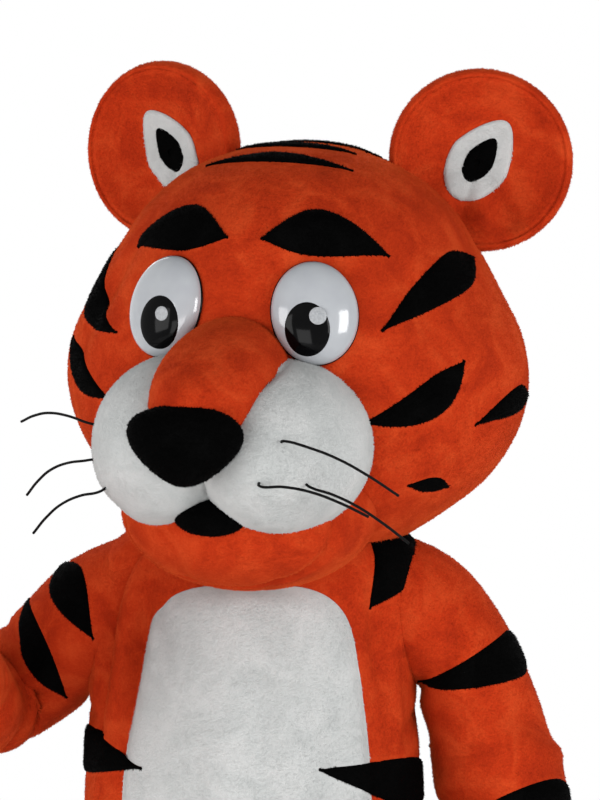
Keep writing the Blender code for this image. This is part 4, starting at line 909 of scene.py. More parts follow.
share_rows = -np.cos(math.pi * spread(0.0, 1.0, 72))
across_columns = np.sin(0.5 * math.pi * spread(-1.0, 1.0, 41))
half_turns = (belly_half_width(share_rows) + 0.0015) / torso.round_scale
belly_turns = BELLY_TURN + half_turns[:, None] * across_columns[None, :]
belly_heights = 0.5 * (BELLY_LOW + BELLY_HIGH) + share_rows * 0.5 * (BELLY_HIGH - BELLY_LOW)
belly_heights = np.repeat(belly_heights[:, None], len(across_columns), axis=1)
edge = np.clip(belly_margin(belly_turns, belly_heights) / 0.010, 0.0, 1.0)
belly = soft_piece("belly_cloth", on_cloth(torso, belly_turns, belly_heights, 0.0012 + 0.0022 * np.sqrt(edge)),
                   False, "plush_white")

PLACKET_LOW, PLACKET_HIGH, PLACKET_WIDTH = -0.520, 0.020, 0.042
placket_half = 0.5 * PLACKET_WIDTH / torso.round_scale
placket_turns, placket_heights = np.meshgrid(180.0 + spread(-placket_half, placket_half, 13),
                                             spread(PLACKET_LOW, PLACKET_HIGH, 60))
placket_lift = 0.0005 + 0.0046 * np.clip((placket_half - np.abs(placket_turns - 180.0)) / 2.2, 0.0, 1.0) ** 0.5
placket = soft_piece("back_placket_cloth", on_cloth(torso, placket_turns, placket_heights, placket_lift),
                     False, "plush_orange")
print("Body panels:", [piece.name for piece in (suit_front, suit_back_left, suit_back_right, belly, placket)])

# %% [markdown]
# ## Sleeves, paws and legs
# Each is a tube of one panel, sewn to the body at the armhole or the hip. The paws are
# mitts that pull on over the sleeve's end: the thumb is a bulge in the side, and shallow
# tucks mark the fingers. The feet are covers glued down to a thick foam rubber sole.

# %% Sleeves and paws
sleeves = {side: soft_piece("sleeve_" + side + "_cloth", arm.points, True, "plush_orange",
                            clear_of=[torso_hull, head_hull], allowance=0.004)
           for side, arm in arms.items()}

paws = {}
paw_hulls = {}
for side, rows in (("left", SLEEVE_LEFT_RINGS), ("right", SLEEVE_RIGHT_RINGS)):
    cuff = Vector(rows[0][:3])
    along = (cuff - Vector(rows[1][:3])).normalized()
    centres = [cuff + along * ring.reach for ring in PAW_RINGS]
    mitt_rows = [TubeRing(*centre, ring.across, ring.deep) for centre, ring in zip(centres, PAW_RINGS)]
    mitt = Cloth(tube_shape(mitt_rows), 48, spread(0.0, 0.975, 44), 0.055 * DEGREE, 0.176, PAW_FOLDS)
    tip = cuff + along * PAW_TIP
    paws[side] = soft_piece("paw_" + side + "_mitt", mitt.points, True, "plush_orange", (tip, None))
    paw_hulls[side] = hull(mitt, start=tip)
print("Sleeves and paws:", [piece.name for piece in (*sleeves.values(), *paws.values())])

# %% Legs and feet
leg_pieces = {side: soft_piece("leg_" + side + "_cloth", leg.points, True, "plush_orange")
              for side, leg in legs.items()}
foot_pieces = {side: soft_piece("foot_" + side + "_cover", foot.points, True, "plush_orange")
               for side, foot in feet.items()}
print("Legs and feet:", [piece.name for piece in (*leg_pieces.values(), *foot_pieces.values())])

# %% [markdown]
# ## Soles
# A sole is cut from a flat rubber sheet. It starts as a disc, its rim is moved to the foot's
# outline, it is extruded to its thickness, and the lower edge is rounded with a bevel.

# %% Cut the soles
SOLE_TOP = -1.440
SOLE_MM = 22.0
SOLE_ROUND_MM = 5.0


def select_faces(mesh, test):
    shape = bmesh.from_edit_mesh(mesh)
    bpy.ops.mesh.select_all(action="DESELECT")
    for face in shape.faces:
        face.select = bool(test(face))
    shape.select_flush(True)
    bmesh.update_edit_mesh(mesh)


def finish_mesh(piece, material, angle=35.0):
    bpy.ops.object.mode_set(mode="OBJECT")
    bpy.ops.object.transform_apply(location=True, rotation=True, scale=True)
    bpy.ops.object.shade_smooth_by_angle(angle=math.radians(angle))
    piece.data.materials.clear()
    piece.data.materials.append(material)


soles = {}
for side, foot in feet.items():
    outline = foot.points[0]
    bpy.ops.object.select_all(action="DESELECT")
    bpy.ops.mesh.primitive_circle_add(vertices=len(outline), radius=0.1, fill_type="NGON")
    sole = bpy.context.object
    sole.name = "sole_" + side + "_rubber"
    for vertex, point in zip(sole.data.vertices, outline):
        vertex.co = (point[0], point[1], SOLE_TOP)
    bpy.ops.object.mode_set(mode="EDIT")
    bpy.ops.mesh.select_all(action="SELECT")
    bpy.ops.mesh.extrude_region_move(TRANSFORM_OT_translate={"value": (0.0, 0.0, -SOLE_MM / 1000.0)})
    select_faces(sole.data, lambda face: abs(face.normal.z) > 0.9 and face.calc_center_median().z < SOLE_TOP - 0.01)
    bpy.ops.mesh.bevel(offset=SOLE_ROUND_MM / 1000.0, segments=4, affect="EDGES")
    bpy.ops.mesh.select_all(action="SELECT")
    bpy.ops.mesh.normals_make_consistent(inside=False)
    finish_mesh(sole, SOLE_RUBBER)
    soles[side] = sole
print("Sole is", SOLE_MM, "mm thick, faces:", len(soles["left"].data.polygons))

# %% [markdown]
# ## The tail
# A stuffed tube of plush, sewn to the seat. It droops under its own weight and turns out
# a little at its tip.

# %% Tail
tail_cloth = Cloth(tube_shape(TAIL_RINGS), 40, spread(0.0, 1.0, 80), 0.035 * DEGREE, 0.62, [])
first = TAIL_RINGS[0]
tail_tip = Vector((first.x + 0.008, first.y - 0.016, first.z - 0.020))
tail = soft_piece("tail_plush", tail_cloth.points, True, "plush_orange", (tail_tip, None), [torso_hull])
print("Tail runs from", [round(v, 2) for v in tail_tip], "up to the seat")

# %% [markdown]
# ## The head
# The head is foam under one stretched cover. Its front and back are sewn together over the
# crown and down behind the ears, so the seam is a shallow trough there. The neck end is left
# open, because that is where the wearer's head goes in.

# %% Head cover
HEAD_SEAM_DEPTH = 0.040
head.seam(np.abs(in_frame(head.points, HEAD_PLACE)[..., 1] - HEAD_SEAM_DEPTH), 0.0025, 0.006)
head_cover = soft_piece("head_cover", head.points, True, "plush_orange", (None, head_crown), [torso_hull], 0.004)
print("Head cover faces:", len(head_cover.data.polygons))

# %% [markdown]
# ## Pads of the face
# The muzzle, bridge, nose and jaw are plush bags filled with soft wadding. Each is a rounded
# form with its own dents, and it is sewn to the head where the two meet. A tuck pulls the
# muzzle in beside the nose, and a line of stitching runs round the jaw just inside its rim.

# %% Pad shapes
Pad = namedtuple("Pad", "x y z half_width half_depth half_height")
MUZZLE_PAD = Pad(0.051, -0.198, -0.078, 0.081, 0.116, 0.083)
BRIDGE_PAD = Pad(0.000, -0.232, -0.020, 0.060, 0.112, 0.056)
BRIDGE_SLOPE = math.radians(16.0)
NOSE_PAD = Pad(0.000, -0.332, -0.062, 0.052, 0.030, 0.037)
NOSE_TAPER = 0.38
JAW_PAD = Pad(0.000, -0.146, -0.150, 0.122, 0.122, 0.074)
MOUTH_PAD = Pad(0.000, -0.258, -0.139, 0.036, 0.024, 0.018)
POLE_EASE = 0.012


def pad_cloth(pad, side=1, slope=0.0, taper=0.0, columns=72, rows=44, folds=()):
    frame_of_pad = (HEAD_PLACE @ Matrix.Translation((side * pad.x, pad.y, pad.z))
                    @ Matrix.Rotation(slope, 4, "X"))

    def shape(turn, place):
        round_angle, up_angle = math.radians(turn), math.pi * place
        reach, height = math.sin(up_angle), -math.cos(up_angle)
        return frame_of_pad @ Vector((math.sin(round_angle) * reach * (1.0 + taper * height) * pad.half_width,
                                      -math.cos(round_angle) * reach * pad.half_depth, height * pad.half_height))

    places = spread(POLE_EASE, 1.0 - POLE_EASE, rows)
    cloth = Cloth(shape, columns, places, pad.half_width * DEGREE, math.pi * pad.half_height, folds)
    cloth.poles = (shape(0.0, 0.0), shape(0.0, 1.0))
    return cloth


MUZZLE_FOLDS = [
    Fold(-12, 0.780, 0.050, 0.007, -0.0065, 32),
    Fold(30, 0.300, 0.045, 0.016, -0.0025, -20),
    Fold(70, 0.560, 0.045, 0.018, -0.0025, 60),
    Fold(-40, 0.420, 0.030, 0.014, -0.0020, 84),
]
BRIDGE_FOLDS = [Fold(0, 0.700, 0.050, 0.014, 0.0020, 0), Fold(30, 0.560, 0.030, 0.010, -0.0020, 40)]
JAW_FOLDS = [Fold(-24, 0.300, 0.040, 0.012, -0.0025, 70), Fold(34, 0.330, 0.050, 0.014, -0.0025, 100)]
pads = {
    "muzzle_left": pad_cloth(MUZZLE_PAD, -1, folds=[f._replace(turn=-f.turn, slant=-f.slant) for f in MUZZLE_FOLDS[1:]]),
    "muzzle_right": pad_cloth(MUZZLE_PAD, 1, folds=MUZZLE_FOLDS),
    "bridge": pad_cloth(BRIDGE_PAD, 1, BRIDGE_SLOPE, folds=BRIDGE_FOLDS),
    "nose": pad_cloth(NOSE_PAD, 1, 0.0, NOSE_TAPER, 60, 34),
    "mouth": pad_cloth(MOUTH_PAD, columns=48, rows=24),
    "jaw": pad_cloth(JAW_PAD, columns=112, rows=120, folds=JAW_FOLDS),
}
jaw_turns, jaw_places = np.meshgrid(pads["jaw"].turns, pads["jaw"].places)
jaw_forward = np.cos(np.radians(jaw_turns)) * np.sin(np.pi * jaw_places)
JAW_SEAM_FORWARD = 0.50
JAW_SEAM_SCALE = 0.129
pads["jaw"].seam((jaw_forward - JAW_SEAM_FORWARD) * JAW_SEAM_SCALE, 0.0090, 0.0040)
pad_hulls = {name: hull(cloth, *cloth.poles) for name, cloth in pads.items()}
print("Pads:", list(pads))

# %% Sew the pads on
PAD_ORDER = {
    "muzzle_left": ("plush_white", ()),
    "muzzle_right": ("plush_white", ()),
    "bridge": ("plush_orange", ("muzzle_left", "muzzle_right")),
    "nose": ("plush_black", ("muzzle_left", "muzzle_right", "bridge")),
    "mouth": ("plush_black", ("muzzle_left", "muzzle_right")),
    "jaw": ("plush_orange", ("muzzle_left", "muzzle_right", "mouth")),
}


def past_the_middle(name):
    """Each half of the muzzle stops at the seam between the two."""
    side = {"muzzle_left": -1.0, "muzzle_right": 1.0}.get(name)
    if side is None:
        return None
    return lambda centres: side * in_frame(centres, HEAD_PLACE)[:, 0] < -0.0015


pad_pieces = {}
for name, (finish, neighbours) in PAD_ORDER.items():
    trees = [head_hull, *(pad_hulls[other] for other in neighbours)]
    if name == "jaw":
        trees.append(torso_hull)
    pad_pieces[name] = soft_piece(name + "_pad", pads[name].points, True, finish, pads[name].poles, trees, 0.004,
                                  past_the_middle(name))
print("Pad faces:", {name: len(piece.data.polygons) for name, piece in pad_pieces.items()})

# %% [markdown]
# ## Eyes
# Each eye is one dome of polished plastic set into the head, with a thin black rim that hides
# the glue line. A dome starts as a sphere, is stretched to the eye's sizes, and its back is
# cut off with a bisect. The pupil is a lens that follows the dome, and a small grey disc on it,
# another such lens, is a painted highlight.

# %% Eye helpers
EYE_TURN, EYE_PLACE = 21.5, 0.590
EYE_HALF_WIDTH, EYE_HALF_HEIGHT, EYE_BULGE = 0.041, 0.049, 0.020
EYE_BACK = 0.014
RIM_RADIUS = 0.0015
RIM_INSET = 0.985
PUPIL_DROP, PUPIL_INWARD = 0.016, 0.010
PUPIL_HALF_WIDTH, PUPIL_HALF_HEIGHT, PUPIL_BULGE = 0.021, 0.025, 0.0016
Spark = namedtuple("Spark", "right up radius")
# Where each pupil's painted highlight sits, and how big it is.
PAINTED_HIGHLIGHTS = {"left": Spark(0.004, 0.0085, 0.0068), "right": Spark(0.011, 0.0105, 0.0082)}


def eye_frame(sign):
    """Centred on the head, with x to the side, -y out of the head and z up."""
    turn = sign * EYE_TURN
    round_way = head_shape(turn + 1.0, EYE_PLACE) - head_shape(turn - 1.0, EYE_PLACE)
    up = (head_shape(turn, EYE_PLACE + 0.02) - head_shape(turn, EYE_PLACE - 0.02)).normalized()
    out = round_way.cross(up).normalized()
    across = up.cross(out).normalized()
    return Matrix.Translation(head_shape(turn, EYE_PLACE)) @ Matrix((across, -out, up)).transposed().to_4x4()


def primitive(name, add, **settings):
    bpy.ops.object.select_all(action="DESELECT")
    add(**settings)
    bpy.context.object.name = name
    return bpy.context.object


def eye_dome(name, frame_of_eye):
    dome = primitive(name, bpy.ops.mesh.primitive_uv_sphere_add, segments=72, ring_count=40, radius=1.0)
    size = Matrix.Diagonal((EYE_HALF_WIDTH, EYE_BULGE, EYE_HALF_HEIGHT, 1.0))
    dome.data.transform(frame_of_eye @ size)
    bpy.ops.object.mode_set(mode="EDIT")
    bpy.ops.mesh.select_all(action="SELECT")
    bpy.ops.mesh.bisect(plane_co=frame_of_eye @ Vector((0.0, EYE_BACK, 0.0)),
                        plane_no=frame_of_eye.to_3x3() @ Vector((0.0, 1.0, 0.0)), use_fill=True, clear_outer=True)
    finish_mesh(dome, EYE_WHITE)
    return dome


def eye_rim(name, frame_of_eye):
    """A torus whose ring follows the dome's outline where it meets the head."""
    tube = 0.1
    rim = primitive(name, bpy.ops.mesh.primitive_torus_add, major_segments=96, minor_segments=10,
                    major_radius=1.0, minor_radius=tube)
    inward = frame_of_eye.to_3x3() @ Vector((0.0, 1.0, 0.0))
    for vertex in rim.data.vertices:
        angle = math.atan2(vertex.co.y, vertex.co.x)
        spread_out = RIM_RADIUS * (math.hypot(vertex.co.x, vertex.co.y) - 1.0) / tube
        lift = RIM_RADIUS * vertex.co.z / tube
        ring_x = math.cos(angle) * EYE_HALF_WIDTH * RIM_INSET
        ring_z = math.sin(angle) * EYE_HALF_HEIGHT * RIM_INSET
        start = frame_of_eye @ Vector((ring_x, -0.1, ring_z))
        seat = head_hull.ray_cast(start, inward)[0]
        out = frame_of_eye.to_3x3() @ Vector((math.cos(angle) * spread_out, -lift - RIM_RADIUS, math.sin(angle) * spread_out))
        vertex.co = seat + out
    rim.data.update()
    bpy.ops.object.mode_set(mode="EDIT")
    bpy.ops.mesh.select_all(action="SELECT")
    bpy.ops.mesh.normals_make_consistent(inside=False)
    finish_mesh(rim, EYE_BLACK, 60.0)
    return rim


def eye_lens(name, frame_of_eye, right, up, half_width, half_height, lift, bulge, material):
    """A flat lens laid on the dome."""
    lens = primitive(name, bpy.ops.mesh.primitive_uv_sphere_add, segments=56, ring_count=28, radius=1.0)
    for vertex in lens.data.vertices:
        x = right + vertex.co.x * half_width
        z = up + vertex.co.z * half_height
        level = max(0.0, 1.0 - (x / EYE_HALF_WIDTH) ** 2 - (z / EYE_HALF_HEIGHT) ** 2)
        y = -EYE_BULGE * math.sqrt(level) - lift + vertex.co.y * bulge
        vertex.co = frame_of_eye @ Vector((x, y, z))
    finish_mesh(lens, material, 60.0)
    return lens


# %% Set the eyes
eyes, rims, pupils, painted_highlights = {}, {}, {}, {}
for side, sign in (("left", -1), ("right", 1)):
    place = eye_frame(sign)
    right = -sign * PUPIL_INWARD
    painted_highlight = PAINTED_HIGHLIGHTS[side]
    eyes[side] = eye_dome("eye_" + side + "_dome", place)
    rims[side] = eye_rim("eye_" + side + "_rim", place)
    pupils[side] = eye_lens("pupil_" + side + "_lens", place, right, -PUPIL_DROP, PUPIL_HALF_WIDTH,
                            PUPIL_HALF_HEIGHT, 0.0, PUPIL_BULGE, EYE_BLACK)
    # Painted highlight: the grey disc on the pupil.
    painted_highlights[side] = eye_lens("eye_" + side + "_spark", place, right + painted_highlight.right, painted_highlight.up - PUPIL_DROP,
                            painted_highlight.radius, painted_highlight.radius, PUPIL_BULGE, 0.0006, EYE_PAINTED_HIGHLIGHT)
print("Eye is", 2000 * EYE_HALF_WIDTH, "by", 2000 * EYE_HALF_HEIGHT, "mm")

# %% [markdown]
# ## Stripes and brows
# A stripe is a leaf of black plush sewn on top of the orange. Each row of the table says which
# cloth it lies on, where its middle is, how long and wide it is, how it slants and bows, and
# where it is fullest. Its edge is rolled down to the cloth. The brows are stuffed, so they
# stand three times as high.

# %% Stripe table
Stripe = namedtuple("Stripe", "name skin turn place length width slant bow fullest")
STRIPES = [
    Stripe("stripe_shoulder_right", "torso", 63, -0.040, 0.150, 0.078, 56, 0.006, 0.70),
    Stripe("stripe_waist_right", "torso", 71, -0.256, 0.260, 0.048, -5, -0.010, 0.50),
    Stripe("stripe_waist_left", "torso", -84, -0.246, 0.240, 0.046, 0, 0.010, 0.48),
    Stripe("stripe_shoulder_left", "sleeve_left", -38, 0.880, 0.120, 0.042, 4, 0.006, 0.40),
    Stripe("stripe_arm_right_upper", "sleeve_right", 16, 0.716, 0.175, 0.042, -8, -0.006, 0.80),
    Stripe("stripe_arm_right_lower", "sleeve_right", 36, 0.432, 0.175, 0.042, -4, 0.008, 0.62),
    Stripe("crown_stripe_front", "crown", 0.000, 0.066, 0.150, 0.022, 0, 0.008, 0.50),
    Stripe("crown_stripe_middle", "crown", 0.000, 0.014, 0.124, 0.022, 0, 0.008, 0.50),
    Stripe("crown_stripe_back", "crown", 0.000, -0.046, 0.140, 0.024, 0, 0.010, 0.50),
    Stripe("cheek_stripe_right_upper", "head", 64, 0.618, 0.185, 0.040, 21, 0.012, 0.72),
    Stripe("cheek_stripe_right_middle", "head", 46, 0.422, 0.125, 0.036, 26, -0.012, 0.60),
    Stripe("cheek_stripe_right_lower", "head", 80, 0.366, 0.110, 0.028, 10, 0.006, 0.70),
    Stripe("cheek_stripe_left_upper", "head", -58, 0.606, 0.165, 0.038, -30, -0.018, 0.40),
    Stripe("cheek_stripe_left_lower", "head", -52, 0.434, 0.120, 0.032, -24, -0.008, 0.40),
]
BROWS = {
    "left": Stripe("brow_left", "head", -27, 0.728, 0.126, 0.050, 8, 0.016, 0.58),
    "right": Stripe("brow_right", "head", 27, 0.728, 0.126, 0.050, -8, 0.016, 0.42),
}
HIDDEN_STRIPES = [
    Stripe("stripe_elbow_left", "sleeve_left", -14, 0.775, 0.130, 0.034, -12, 0.006, 0.50),
    Stripe("cheek_stripe_right_small", "head", 57, 0.217, 0.055, 0.018, -8, 0.002, 0.50),
    Stripe("stripe_forearm_left", "sleeve_left", -120, 0.140, 0.120, 0.030, 4, -0.006, 0.50),
    Stripe("stripe_sleeve_right_back", "sleeve_right", -170, 0.560, 0.150, 0.034, 6, 0.006, 0.50),
    Stripe("stripe_cuff_right", "sleeve_right", 60, 0.200, 0.150, 0.034, 4, 0.006, 0.60),
]
for sign, side in ((-1, "left"), (1, "right")):
    for number, (turn, height, length) in enumerate([(138, -0.130, 0.170), (136, -0.330, 0.200), (132, -0.500, 0.210)]):
        HIDDEN_STRIPES.append(Stripe(f"stripe_back_{side}_{number + 1}", "torso", sign * turn, height, length,
                                     0.040, sign * -10, 0.010, 0.5 - 0.12 * sign))
    for number, (turn, height) in enumerate([(88, -0.840), (100, -0.990), (84, -1.130)]):
        HIDDEN_STRIPES.append(Stripe(f"stripe_leg_{side}_{number + 1}", "leg_" + side, sign * turn, height, 0.190,
                                     0.038, sign * 8, 0.008, 0.5 + 0.10 * sign))
    for number, (turn, height) in enumerate([(142, 0.700), (140, 0.480)]):
        HIDDEN_STRIPES.append(Stripe(f"stripe_head_{side}_{number + 1}", "head", sign * turn, height, 0.150,
                                     0.032, sign * -14, 0.010, 0.5 - 0.10 * sign))
for number, height in enumerate((0.16, 0.34, 0.52, 0.70)):
    HIDDEN_STRIPES.append(Stripe(f"stripe_tail_{number + 1}", "tail", 180.0, height, 0.120, 0.026, 0, 0.004, 0.50))
print("Stripes:", len(STRIPES), "in the picture and", len(HIDDEN_STRIPES), "round the sides and back")

# %% Lay the stripes
STRIPE_TIP = 0.0015
STRIPE_STATIONS, STRIPE_ACROSS = 28, 9
SKINS = {
    "torso": torso,
    "head": head,
    "tail": tail_cloth,
    "sleeve_left": arms["left"],
    "sleeve_right": arms["right"],
    "leg_left": legs["left"],
    "leg_right": legs["right"],
}
STITCH_GAP = 0.0003
EDGE_ROLL = 0.004
BELLY_LIFT, BELLY_STEP = 0.0036, 0.006


def scales_at(cloth, turn, place):
    """Metres to a degree round the cloth, and to one unit along it, at one place."""
    reach = 0.01
    round_way = cloth.shape(turn + 1.0, place) - cloth.shape(turn - 1.0, place)
    along_way = cloth.shape(turn, place + reach) - cloth.shape(turn, place - reach)
    return 0.5 * round_way.length, 0.5 * along_way.length / reach


def ribbon_grid(stripe, round_scale, along_scale):
    """Turns, places and distance from the edge, over a leaf along a bowed line."""
    share = 0.5 - 0.5 * np.cos(math.pi * spread(0.0, 1.0, STRIPE_STATIONS + 1))
    rising = np.sin(0.5 * math.pi * np.minimum(share / stripe.fullest, 1.0))
    falling = np.sin(0.5 * math.pi * np.minimum((1.0 - share) / (1.0 - stripe.fullest), 1.0))
    half = np.maximum(0.5 * stripe.width * np.where(share < stripe.fullest, rising, falling), STRIPE_TIP)[:, None]
    run = ((share - 0.5) * stripe.length)[:, None]
    across = np.sin(0.5 * math.pi * spread(1.0, -1.0, STRIPE_ACROSS))[None, :]
    off = stripe.bow * (1.0 - (2.0 * share - 1.0) ** 2)[:, None] + half * across
    slant = math.radians(stripe.slant)
    turns = stripe.turn + (run * math.cos(slant) - off * math.sin(slant)) / round_scale
    places = stripe.place + (run * math.sin(slant) + off * math.cos(slant)) / along_scale
    return turns, places, half * (1.0 - np.abs(across))


def on_crown(sideways, forward, lift):
    """Drop each place straight down on the crown, in the head's own frame."""
    down = HEAD_PLACE.to_3x3() @ Vector((0.0, 0.0, -1.0))
    found = np.empty((*sideways.shape, 3))
    for spot in np.ndindex(sideways.shape):
        start = HEAD_PLACE @ Vector((sideways[spot], -forward[spot], 0.5))
        place, normal = head_hull.ray_cast(start, down)[:2]
        found[spot] = place + normal * lift[spot]
    return found[:, ::-1]


def laid_stripe(stripe, height=0.0026, roll=EDGE_ROLL, clear_of=()):
    if stripe.skin == "crown":
        turns, places, inset = ribbon_grid(stripe, 1.0, 1.0)
    else:
        cloth = SKINS[stripe.skin]
        turns, places, inset = ribbon_grid(stripe, *scales_at(cloth, stripe.turn, stripe.place))
    lift = STITCH_GAP + height * np.sqrt(np.clip(inset / roll, 0.0, 1.0))
    if stripe.skin == "torso":
        lift = lift + BELLY_LIFT * np.clip(belly_margin(turns, places) / BELLY_STEP + 1.0, 0.0, 1.0)
    points = on_crown(turns, places, lift) if stripe.skin == "crown" else on_cloth(cloth, turns, places, lift)
    return soft_piece(stripe.name + "_plush", points, False, "plush_black", clear_of=clear_of, allowance=0.002)


def neighbours_of(skin):
    if skin == "torso":
        return [head_hull, *arm_hulls.values()]
    if skin.startswith("sleeve"):
        return [head_hull, torso_hull]
    return []


stripes = {stripe.name: laid_stripe(stripe, clear_of=neighbours_of(stripe.skin))
           for stripe in STRIPES + HIDDEN_STRIPES}
brows = {side: laid_stripe(brow, 0.0085, 0.015) for side, brow in BROWS.items()}
print("Laid", len(stripes), "stripes and", len(brows), "brows")

# %% [markdown]
# ## Ears
# An ear is one padded dish, covered in plush that runs from the back over the rim and down
# into the dish, where a leaf of white and a leaf of black are sewn in. It is tucked and pulled
# tight where it is sewn to the head, which makes small radial creases at its root.

# %% Ear covers
EarRing = namedtuple("EarRing", "radius depth")
EAR_RINGS = [
    EarRing(0.00, -0.0560),
    EarRing(0.45, -0.0520),
    EarRing(0.80, -0.0400),
    EarRing(1.00, -0.0220),
    EarRing(1.04, -0.0080),
    EarRing(1.00, 0.0020),
    EarRing(0.93, 0.0013),
    EarRing(0.74, -0.0087),
    EarRing(0.48, -0.0177),
    EarRing(0.22, -0.0222),
    EarRing(0.00, -0.0237),
]
EAR_HALF_WIDTH, EAR_HALF_HEIGHT = 0.088, 0.086
EAR_OUT, EAR_BEHIND, EAR_UP = 0.170, 0.055, 0.180
EAR_LEAN, EAR_FACING = math.radians(34.0), math.radians(16.0)
EAR_SEAM_PLACE = 0.590
EAR_FOLDS = [
    Fold(-34, 0.740, 0.030, 0.008, -0.0050, 84),
    Fold(-10, 0.700, 0.030, 0.008, 0.0040, 92),
    Fold(14, 0.740, 0.030, 0.008, -0.0050, 88),
    Fold(38, 0.700, 0.030, 0.009, 0.0040, 96),
    Fold(60, 0.720, 0.030, 0.008, -0.0040, 90),
    Fold(150, 0.660, 0.040, 0.014, -0.0015, 60),
    Fold(-120, 0.680, 0.040, 0.014, 0.0015, 110),
]


def ear_frame(sign):
    """The ear's own frame: x across it, -y out of its dish, z up to its top."""
    place = Matrix.Translation((sign * EAR_OUT, EAR_BEHIND, EAR_UP))
    facing = Matrix.Rotation(sign * EAR_FACING, 4, "Z")
    lean = Matrix.Rotation(sign * EAR_LEAN, 4, "Y")
    return HEAD_PLACE @ place @ facing @ lean


def ear_shape(frame_of_ear):
    def shape(turn, place):
        ring = blend_rows(EAR_RINGS, place * (len(EAR_RINGS) - 1))
        angle = math.radians(turn)
        return frame_of_ear @ Vector((math.sin(angle) * ring.radius * EAR_HALF_WIDTH, -ring.depth,
                                      -math.cos(angle) * ring.radius * EAR_HALF_HEIGHT))
    return shape


ears, ear_hulls = {}, {}
for side, sign in (("left", -1), ("right", 1)):
    shape = ear_shape(ear_frame(sign))
    ear = Cloth(shape, 88, spread(0.008, 0.992, 84), EAR_HALF_WIDTH * 0.6 * DEGREE, 0.26,
                [fold._replace(turn=sign * fold.turn) for fold in EAR_FOLDS])
    ear_places = np.repeat(ear.places[:, None], ear.columns, axis=1)
    ear.seam((ear_places - EAR_SEAM_PLACE) * ear.along_scale, 0.0018, 0.0035)
    poles = (shape(0.0, 0.0), shape(0.0, 1.0))
    ears[side] = soft_piece("ear_" + side + "_cover", ear.points, True, "plush_orange", poles, [head_hull], 0.004)
    ear_hulls[side] = hull(ear, *poles)
print("Ear is", 2000 * EAR_HALF_WIDTH, "mm wide")

# %% Ear leaves
EAR_PATCH = (0.062, 0.092)
EAR_SPOT = (0.030, 0.054)
LEAF_POINT = 0.35


def ear_leaf(name, frame_of_ear, tree, size, lift, finish):
    """A leaf dropped on the dish from in front: rows run from its edge in to its middle."""
    width, height = size
    inward = frame_of_ear.to_3x3() @ Vector((0.0, 1.0, 0.0))
    rows = []
    for share in spread(1.0, 0.06, 12):
        row = []
        for k in range(56):
            angle = 2.0 * math.pi * k / 56
            z = -math.cos(angle)
            x = math.sin(angle) * (1.0 - LEAF_POINT * max(z, 0.0))
            start = frame_of_ear @ Vector((0.5 * width * x * share, -0.1, 0.5 * height * z * share))
            place, normal = tree.ray_cast(start, inward)[:2]
            rolled = math.sqrt(min(1.0, (1.0 - share) * 0.5 * width / EDGE_ROLL))
            row.append(place + normal * (STITCH_GAP + lift * (0.25 + 0.75 * rolled)))
        rows.append(row)
    points = np.array(rows)
    return soft_piece(name, points, True, finish, (None, Vector(middle_of(points[-1]))), [head_hull], 0.002)


patches, spots = {}, {}
for side, sign in (("left", -1), ("right", 1)):
    place = ear_frame(sign)
    patches[side] = ear_leaf("ear_" + side + "_patch", place, ear_hulls[side], EAR_PATCH, 0.0026, "plush_white")
    spots[side] = ear_leaf("ear_" + side + "_spot", place, ear_hulls[side], EAR_SPOT, 0.0050, "plush_black")
print("Ear leaves:", len(patches) + len(spots))

# %% [markdown]
# ## Whiskers
# Six waxed cords stand out of the muzzle. Each one leaves it at a right angle, and then droops
# in an even bend.

# %% Whiskers
Whisker = namedtuple("Whisker", "side bearing rise out back drop")
WHISKERS = [
    Whisker(-1, 58, 14, 0.085, 0.030, 0.006),
    Whisker(-1, 52, -8, 0.076, 0.025, 0.042),
    Whisker(-1, 40, -26, 0.078, 0.015, 0.050),
    Whisker(1, 24, 14, 0.105, 0.020, 0.046),
    Whisker(1, 10, -12, 0.105, -0.004, 0.024),
    Whisker(1, 40, -14, 0.095, 0.010, 0.050),
]
WHISKER_RADIUS, WHISKER_STEM, WHISKER_ROOT = 0.0013, 0.006, 0.005
WHISKER_SPRING = 0.010


def whisker_line(whisker):
    bearing, rise = math.radians(whisker.bearing), math.radians(whisker.rise)
    ball = Vector((whisker.side * math.sin(bearing) * math.cos(rise), -math.cos(bearing) * math.cos(rise),
                   math.sin(rise)))
    half = Vector((MUZZLE_PAD.half_width, MUZZLE_PAD.half_depth, MUZZLE_PAD.half_height))
    root = Vector((whisker.side * MUZZLE_PAD.x, MUZZLE_PAD.y, MUZZLE_PAD.z)) + ball * half
    out = Vector(b / h for b, h in zip(ball, half)).normalized()
    tip = root + Vector((whisker.side * whisker.out, whisker.back, -whisker.drop))
    line = [root - out * WHISKER_ROOT, root + out * WHISKER_STEM]
    for share in (0.25, 0.5, 0.75, 1.0):
        spring = WHISKER_SPRING * math.sin(math.pi * share)
        line.append(line[1].lerp(tip, share) + Vector((0.0, -spring, spring)))
    return [HEAD_PLACE @ place for place in line]


whiskers = []
for number, whisker in enumerate(WHISKERS, start=1):
    line = whisker_line(whisker)
    curve = bpy.data.curves.new("whisker_line", "CURVE")
    curve.dimensions = "3D"
    curve.bevel_depth = WHISKER_RADIUS
    curve.bevel_resolution = 3
    curve.use_fill_caps = True
    spline = curve.splines.new("BEZIER")
    spline.bezier_points.add(len(line) - 1)
    for point, place in zip(spline.bezier_points, line):
        point.co = place
        point.handle_left_type = point.handle_right_type = "AUTO"
    strand = bpy.data.objects.new(f"whisker_{number}_cord", curve)
    bpy.context.scene.collection.objects.link(strand)
    bpy.ops.object.select_all(action="DESELECT")
    strand.select_set(True)
    bpy.context.view_layer.objects.active = strand
    bpy.ops.object.convert(target="MESH")
    bpy.ops.object.shade_smooth()
    strand.data.materials.clear()
    strand.data.materials.append(WHISKER_CORD)
    whiskers.append(strand)
print("Whiskers:", len(whiskers))

